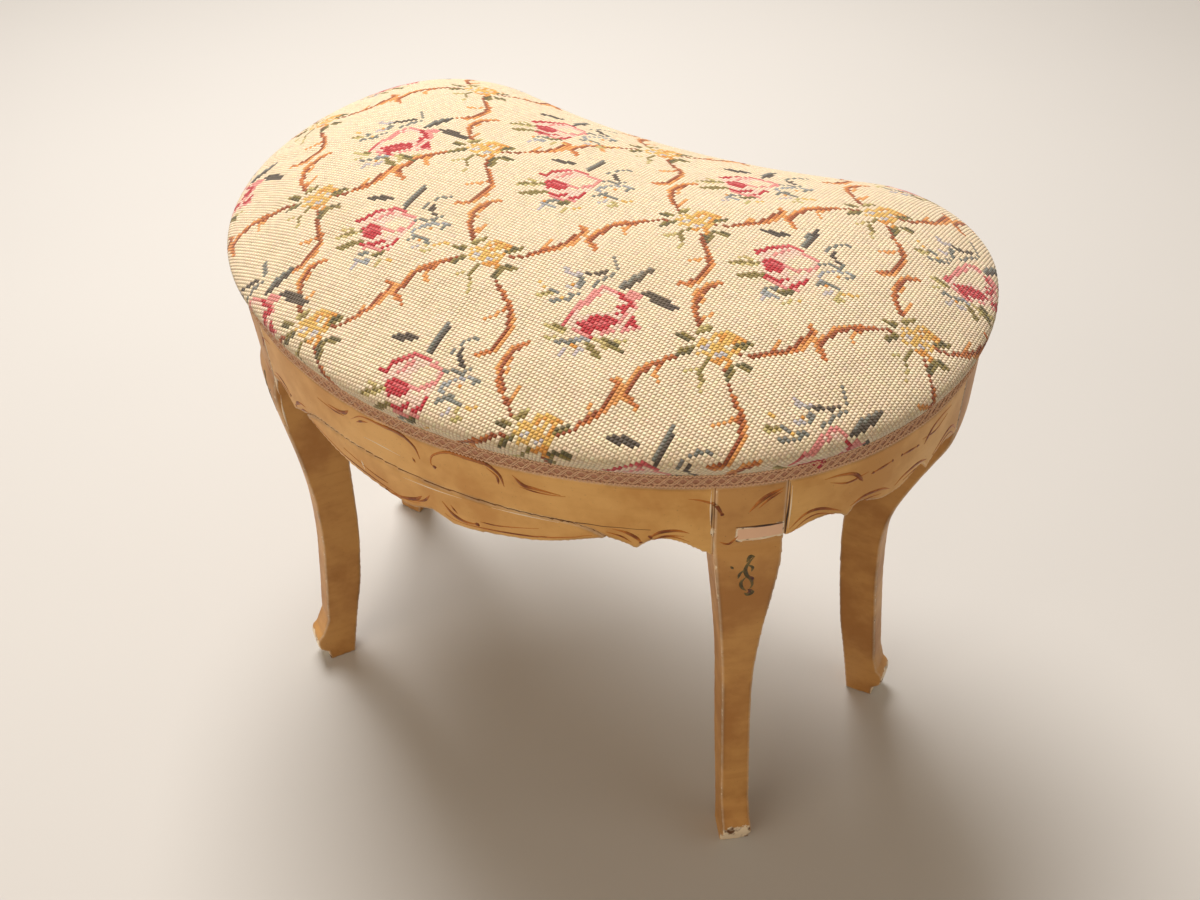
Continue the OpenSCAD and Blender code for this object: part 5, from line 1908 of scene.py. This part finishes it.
@dataclass
class GimpBraid:
    """Scroll braid: a flat band, two cords that wave over each other and looped edges."""

    low: float = 0.3553
    width: float = 0.010
    inset: float = 0.0002
    wave: float = 0.014
    swing: float = 0.0026
    stand: float = 0.0005
    edge_wave: float = 0.0024
    edge_swing: float = 0.0006
    band_steps: int = 700

    def cord(self, name: str, material: bpy.types.Material, rise: float, swing: float, wave: float,
             phase: float, thick: float, weave: float, steps: int) -> bpy.types.Object:
        """Runs one waving cord round the seat.

        Args:
            name: The piece's name.
            material: Its finish.
            rise: Height of its middle over the braid's lower edge.
            swing: How far it waves up and down.
            wave: Length of a wave.
            phase: Where the wave starts, in turns.
            thick: Thickness of the cord.
            weave: How far it moves in and out as it passes over the other cord.
            steps: Rings for each wave.

        Returns:
            The piece.
        """
        whole = 2 * PLAN.half_run()
        waves = round(whole / wave)
        count = waves * steps
        verts = []
        corners = [(math.cos(a), math.sin(a)) for a in np.arange(6) * math.pi / 3]
        for k in range(count):
            turn = 2 * math.pi * (waves * k / count + phase)
            point, out = PLAN.at(whole * k / count)
            z = self.low + rise + swing * math.sin(turn)
            reach = self.stand - self.inset + weave * math.cos(turn)
            slope = swing * math.cos(turn) * 2 * math.pi / wave
            lean = math.sqrt(1 + slope * slope)
            ahead = np.array([-out[1], out[0]])
            for c, s in corners:
                side = thick / 2 * s
                shift = -slope / lean * side
                flat = point + out * (reach + thick / 2 * c) + ahead * shift
                verts.append((flat[0], flat[1], z + side / lean))
        piece = smoothed(outwards(new_piece(name, np.array(verts), ring_faces(count, 6))))
        return dress(piece, material)

    def band(self, material: bpy.types.Material) -> bpy.types.Object:
        """The flat woven band that carries the cords.

        Args:
            material: Its finish.

        Returns:
            The piece.
        """
        whole, count = 2 * PLAN.half_run(), self.band_steps
        verts = []
        section = ((-0.0006, 0.0006), (0.0001, 0.0004), (0.0001, 0.0096), (-0.0006, 0.0094))
        for k in range(count):
            point, out = PLAN.at(whole * k / count)
            verts += [(*(point + out * (reach - self.inset)), self.low + rise) for reach, rise in section]
        piece = smoothed(outwards(new_piece("braid_band", np.array(verts), ring_faces(count, 4))), 50)
        return dress(piece, material, "gimp_braid")

    def build(self) -> None:
        """Builds the band, the two scrolls and the two looped edges."""
        ground = CordFinish("braid ground", (0.79, 0.58, 0.46), (0.60, 0.41, 0.32)).make()
        light = CordFinish("braid cord", (0.93, 0.79, 0.65), (0.79, 0.61, 0.48), 1100.0).make()
        self.band(ground)
        half = self.width / 2
        for name, phase in (("braid_scroll_a", 0.0), ("braid_scroll_b", 0.5)):
            for line, shift in enumerate((-0.055, 0.055)):
                self.cord(f"{name}_{line}", light, half, self.swing, self.wave, phase + shift,
                          0.0007, 0.00025, 16)
        rim = 0.0009
        for name, rise, phase in (("braid_edge_low", rim, 0.1), ("braid_edge_high", self.width - rim, 0.6)):
            self.cord(name, light, rise, self.edge_swing, self.edge_wave, phase, 0.0010, 0.0001, 8)
        log.info("braid of %d waves", round(2 * PLAN.half_run() / self.wave))


# Under the seat


@dataclass
class SeatBase:
    """The webbing and the hessian that carry the seat, seen from below."""

    effects: SharedEffects
    rail_top: float = 0.362
    thick: float = 0.0016
    step: float = 0.0019
    gap: float = 0.0003
    ramp: float = 0.008
    thread: float = 0.0016
    end_inset: float = 0.009
    hessian_pitch: float = 0.006
    hessian_inset: float = 0.014
    hessian_thread: float = 0.0011
    hessian_thick: float = 0.0006
    sag: float = 0.0006
    wobble: float = 0.0004

    def strip(self, node: str, along_x: bool, crossings: list, half_width: float,
              material: bpy.types.Material) -> bpy.types.Object:
        """One strip of webbing, over and under the strips that cross it.

        Args:
            node: The frame's node that it stands for.
            along_x: Whether it runs along the stool.
            crossings: Place and level, 0 or 1, of each strip that crosses it.
            half_width: Half the width of the strips.
            material: Its finish.

        Returns:
            The piece.
        """
        low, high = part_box(node)
        axis, other = (0, 1) if along_x else (1, 0)
        middle = (low[other] + high[other]) / 2
        columns = np.linspace(-half_width, half_width, 9)
        count = 110
        verts, uv_rows = [], []
        for k in range(count + 1):
            share = k / count
            for offset in columns:
                start = self.end_of(axis, middle + offset, low[axis], 1)
                stop = self.end_of(axis, middle + offset, high[axis], -1)
                run = start + (stop - start) * share
                level = self.level(run, crossings, half_width)
                inside = math.sin(math.pi * min(1, max(0, share))) ** 2
                sag = self.sag * inside * (1 - (offset / half_width) ** 2)
                point = [0.0, 0.0, self.rail_top + self.gap + self.thick / 2 + level * self.step - sag]
                point[axis] = run
                point[other] = middle + offset + self.wobble * math.sin(run * 190)
                verts.append(point)
                uv_rows.append((run / self.thread, offset / self.thread))
        n = len(columns)
        faces = [(k * n + i, (k + 1) * n + i, (k + 1) * n + i + 1, k * n + i + 1)
                 for k in range(count) for i in range(n - 1)]
        if not along_x:
            faces = [tuple(reversed(f)) for f in faces]
        piece = new_piece("strip_" + node, np.array(verts), faces)
        lay_threads(piece, uv_rows)
        finish_modifier(piece, "SOLIDIFY", thickness=self.thick, offset=0.0)
        smoothed(outwards(piece), 50)
        return dress(piece, material, node)

    def end_of(self, axis: int, side: float, start: float, step: int) -> float:
        """Where a strip ends along one of its threads, at its inset from the rail's face.

        Args:
            axis: The axis along which the strip runs.
            side: The thread's place on the other axis.
            start: Where the search starts.
            step: 1 to search upwards, -1 downwards.

        Returns:
            The end's place along the axis.
        """
        runs = start + step * np.linspace(0, 0.12, 241)
        places = np.zeros((len(runs), 2))
        places[:, axis], places[:, 1 - axis] = runs, side
        inset, _ = PLAN.inset_of(places)
        k = int(np.argmax(inset >= self.end_inset))
        return float(runs[k])

    def level(self, run: float, crossings: list, half_width: float) -> float:
        """How high a strip rides at a place, from 0 to 1, smooth between crossings.

        Args:
            run: Place along the strip.
            crossings: Place and level of each strip that crosses it.
            half_width: Half the width of the strips.

        Returns:
            The level.
        """
        level = 0.0
        for place, over in crossings:
            far = abs(run - place) - half_width - 0.001
            share = min(1.0, max(0.0, 1 - far / self.ramp))
            level = max(level, over * share * share * (3 - 2 * share))
        return level

    def hessian(self) -> bpy.types.Object:
        """The open jute cloth over the webbing, wavy between the strips, cut to the plan.

        Returns:
            The piece.
        """
        pitch, inset_edge = self.hessian_pitch, self.hessian_inset
        low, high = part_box("hessian")
        columns, rows = int(0.27 / pitch), int(0.19 / pitch)
        u, v = np.arange(-columns, columns + 1), np.arange(-rows, rows + 1)
        grid_v, grid_u = np.meshgrid(v, u, indexing="ij")
        shape = grid_u.shape
        flat = np.c_[grid_u.ravel(), grid_v.ravel()] * pitch
        inset, out = PLAN.inset_of(flat)
        inside = (inset > inset_edge - 0.4 * pitch).reshape(shape)
        keep, uses, faces = cut_grid(inside)
        rim = ((uses > 0) & (uses < 4)).ravel()
        flat = np.where(rim[:, None], flat + out * (inset - inset_edge)[:, None], flat)
        height = low.z + 0.0004 + 0.0002 * np.sin(flat[:, 0] * 170) * np.sin(flat[:, 1] * 150)
        used = (uses > 0).ravel()
        piece = new_piece("hessian_cloth", np.c_[flat, height][used], faces)
        lay_threads(piece, flat[used] / self.hessian_thread)
        finish_modifier(piece, "SOLIDIFY", thickness=self.hessian_thick, offset=0.0)
        smoothed(outwards(piece), 50)
        jute = WovenFinish("hessian", (0.72, 0.58, 0.38), (0.42, 0.31, 0.18)).make(self.effects)
        dress(piece, jute, "hessian")
        return piece

    def build(self) -> None:
        """Builds the strips in both directions, then the hessian."""
        jute = WovenFinish("jute webbing", (0.74, 0.60, 0.40), (0.45, 0.33, 0.2), (0.55, 0.2, 0.13), 11.0)
        material = jute.make(self.effects)
        names_long = ["webbing_long_front", "webbing_long_middle", "webbing_long_back"]
        names_cross = [f"webbing_cross_{k}" for k in range(1, 6)]

        def middle(node: str, axis: int) -> float:
            """The middle of a node's box along an axis."""
            low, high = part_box(node)
            return (low[axis] + high[axis]) / 2

        half = (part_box(names_cross[2])[1].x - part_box(names_cross[2])[0].x) / 2
        long_at = [middle(n, 1) for n in names_long]
        cross_at = [middle(n, 0) for n in names_cross]
        for along_x, names, crossed in ((True, names_long, cross_at), (False, names_cross, long_at)):
            for k, node in enumerate(names):
                first_over = k if along_x else k + 1
                crossings = [(at, float((i + first_over) % 2 == 0)) for i, at in enumerate(crossed)]
                self.strip(node, along_x, crossings, half, material)
        self.hessian()
        log.info("webbing and hessian done")


# Hidden solids that stay


def dress_kept_nodes(effects: SharedEffects) -> None:
    """Gives the frame's own dowels, glue blocks and tacks their finishes.

    Args:
        effects: The shared groups.
    """
    beech, steel = WoodFinish().make(effects), TackFinish().make()
    for name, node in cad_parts.items():
        if node.hide_render:
            continue
        material = steel if name == "webbing_tacks" else beech
        for slot in node.material_slots:
            slot.material = material
        log.info("%s keeps its solid, in %s", name, material.name)


# Studio


@dataclass(frozen=True)
class Studio:
    """A plain pale floor, soft lamps and the camera at the photograph's angle."""

    camera_place: tuple[float, float, float] = (0.3538, -0.5581, 0.8402)
    camera_turn: tuple[float, float, float] = (46.1, 0.0, 27.3)
    lens: float = 37.2
    shift_x: float = -0.055

    def camera(self) -> None:
        """Places the camera and makes it the scene's."""
        data = bpy.data.cameras.new("camera")
        data.lens, data.sensor_width, data.shift_x = self.lens, 36.0, self.shift_x
        data.clip_start, data.clip_end = 0.01, 50
        camera = bpy.data.objects.new("camera", data)
        camera.location = self.camera_place
        camera.rotation_euler = [math.radians(a) for a in self.camera_turn]
        bpy.context.scene.collection.objects.link(camera)
        bpy.context.scene.camera = camera

    @staticmethod
    def lamp(name: str, place: tuple, aim: tuple, size: float, power: float, colour: Colour) -> None:
        """Hangs one soft square lamp, turned to what it lights.

        Args:
            name: Its name.
            place: Where it hangs.
            aim: What it lights.
            size: Its side, in metres.
            power: Its power, in watts.
            colour: Its colour.
        """
        data = bpy.data.lights.new(name, "AREA")
        data.shape, data.size, data.energy, data.color = "SQUARE", size, power, colour
        lamp = bpy.data.objects.new(name, data)
        lamp.location = place
        lamp.rotation_euler = (Vector(aim) - Vector(place)).to_track_quat("-Z", "Y").to_euler()
        bpy.context.scene.collection.objects.link(lamp)

    def build(self) -> None:
        """Builds floor, world, lamps and camera."""
        bpy.ops.object.select_all(action="DESELECT")
        bpy.ops.mesh.primitive_plane_add(size=8.0, location=(0, 0, 0))
        floor = bpy.context.active_object
        floor.name = "studio_floor"
        made, w, shader = open_material("pale floor", specular=0.2)
        cloud = w.noise(w.place(), 2.0, 2.0)
        w.put(shader.inputs["Base Color"], w.blend(cloud, (0.80, 0.805, 0.81), (0.785, 0.79, 0.795)))
        shader.inputs["Roughness"].default_value = 0.85
        floor.data.materials.append(made)
        floor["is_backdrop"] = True
        world = bpy.data.worlds.new("studio")
        world.use_nodes = True
        bpy.context.scene.world = world
        w = Wiring(world.node_tree)
        background = world.node_tree.nodes["Background"]
        path = w.node("ShaderNodeLightPath")
        shown = w.math("MAXIMUM", path.outputs["Is Camera Ray"], path.outputs["Is Glossy Ray"])
        w.put(background.inputs["Color"], w.blend(shown, (0.95, 0.84, 0.71), (0.94, 0.92, 0.89)))
        w.put(background.inputs["Strength"], w.math("ADD", 0.28, w.math("MULTIPLY", shown, 0.6)))
        self.lamp("key", (-0.75, 0.75, 2.1), (0, 0, 0.35), 1.1, 68.0, (1.0, 0.935, 0.86))
        self.lamp("fill", (-0.5, -2.0, 1.2), (0, 0, 0.25), 1.8, 15.0, (1.0, 0.82, 0.62))
        self.lamp("edge", (1.9, 0.2, 1.5), (0, 0, 0.3), 1.2, 3.5, (1.0, 0.90, 0.78))
        view = bpy.context.scene.view_settings
        view.view_transform = "Standard"
        self.camera()


# Everything in order


def corners() -> list:
    """The object's box now, as plain lists of numbers."""
    low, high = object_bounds()
    return [[float(x) for x in low], [float(x) for x in high]]


def main() -> None:
    """Builds and dresses the whole stool, in order from the frame outwards."""
    logging.basicConfig(level=logging.INFO, format="%(name)s: %(message)s")
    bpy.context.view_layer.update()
    effects = SharedEffects()
    wood = Woodwork()
    wood.build(effects)
    Ornament(wood).build()
    Upholstery(SeatDome(), effects).build()
    GimpBraid().build()
    SeatBase(effects).build()
    dress_kept_nodes(effects)
    Studio().build()


if __name__ == "__main__":
    main()
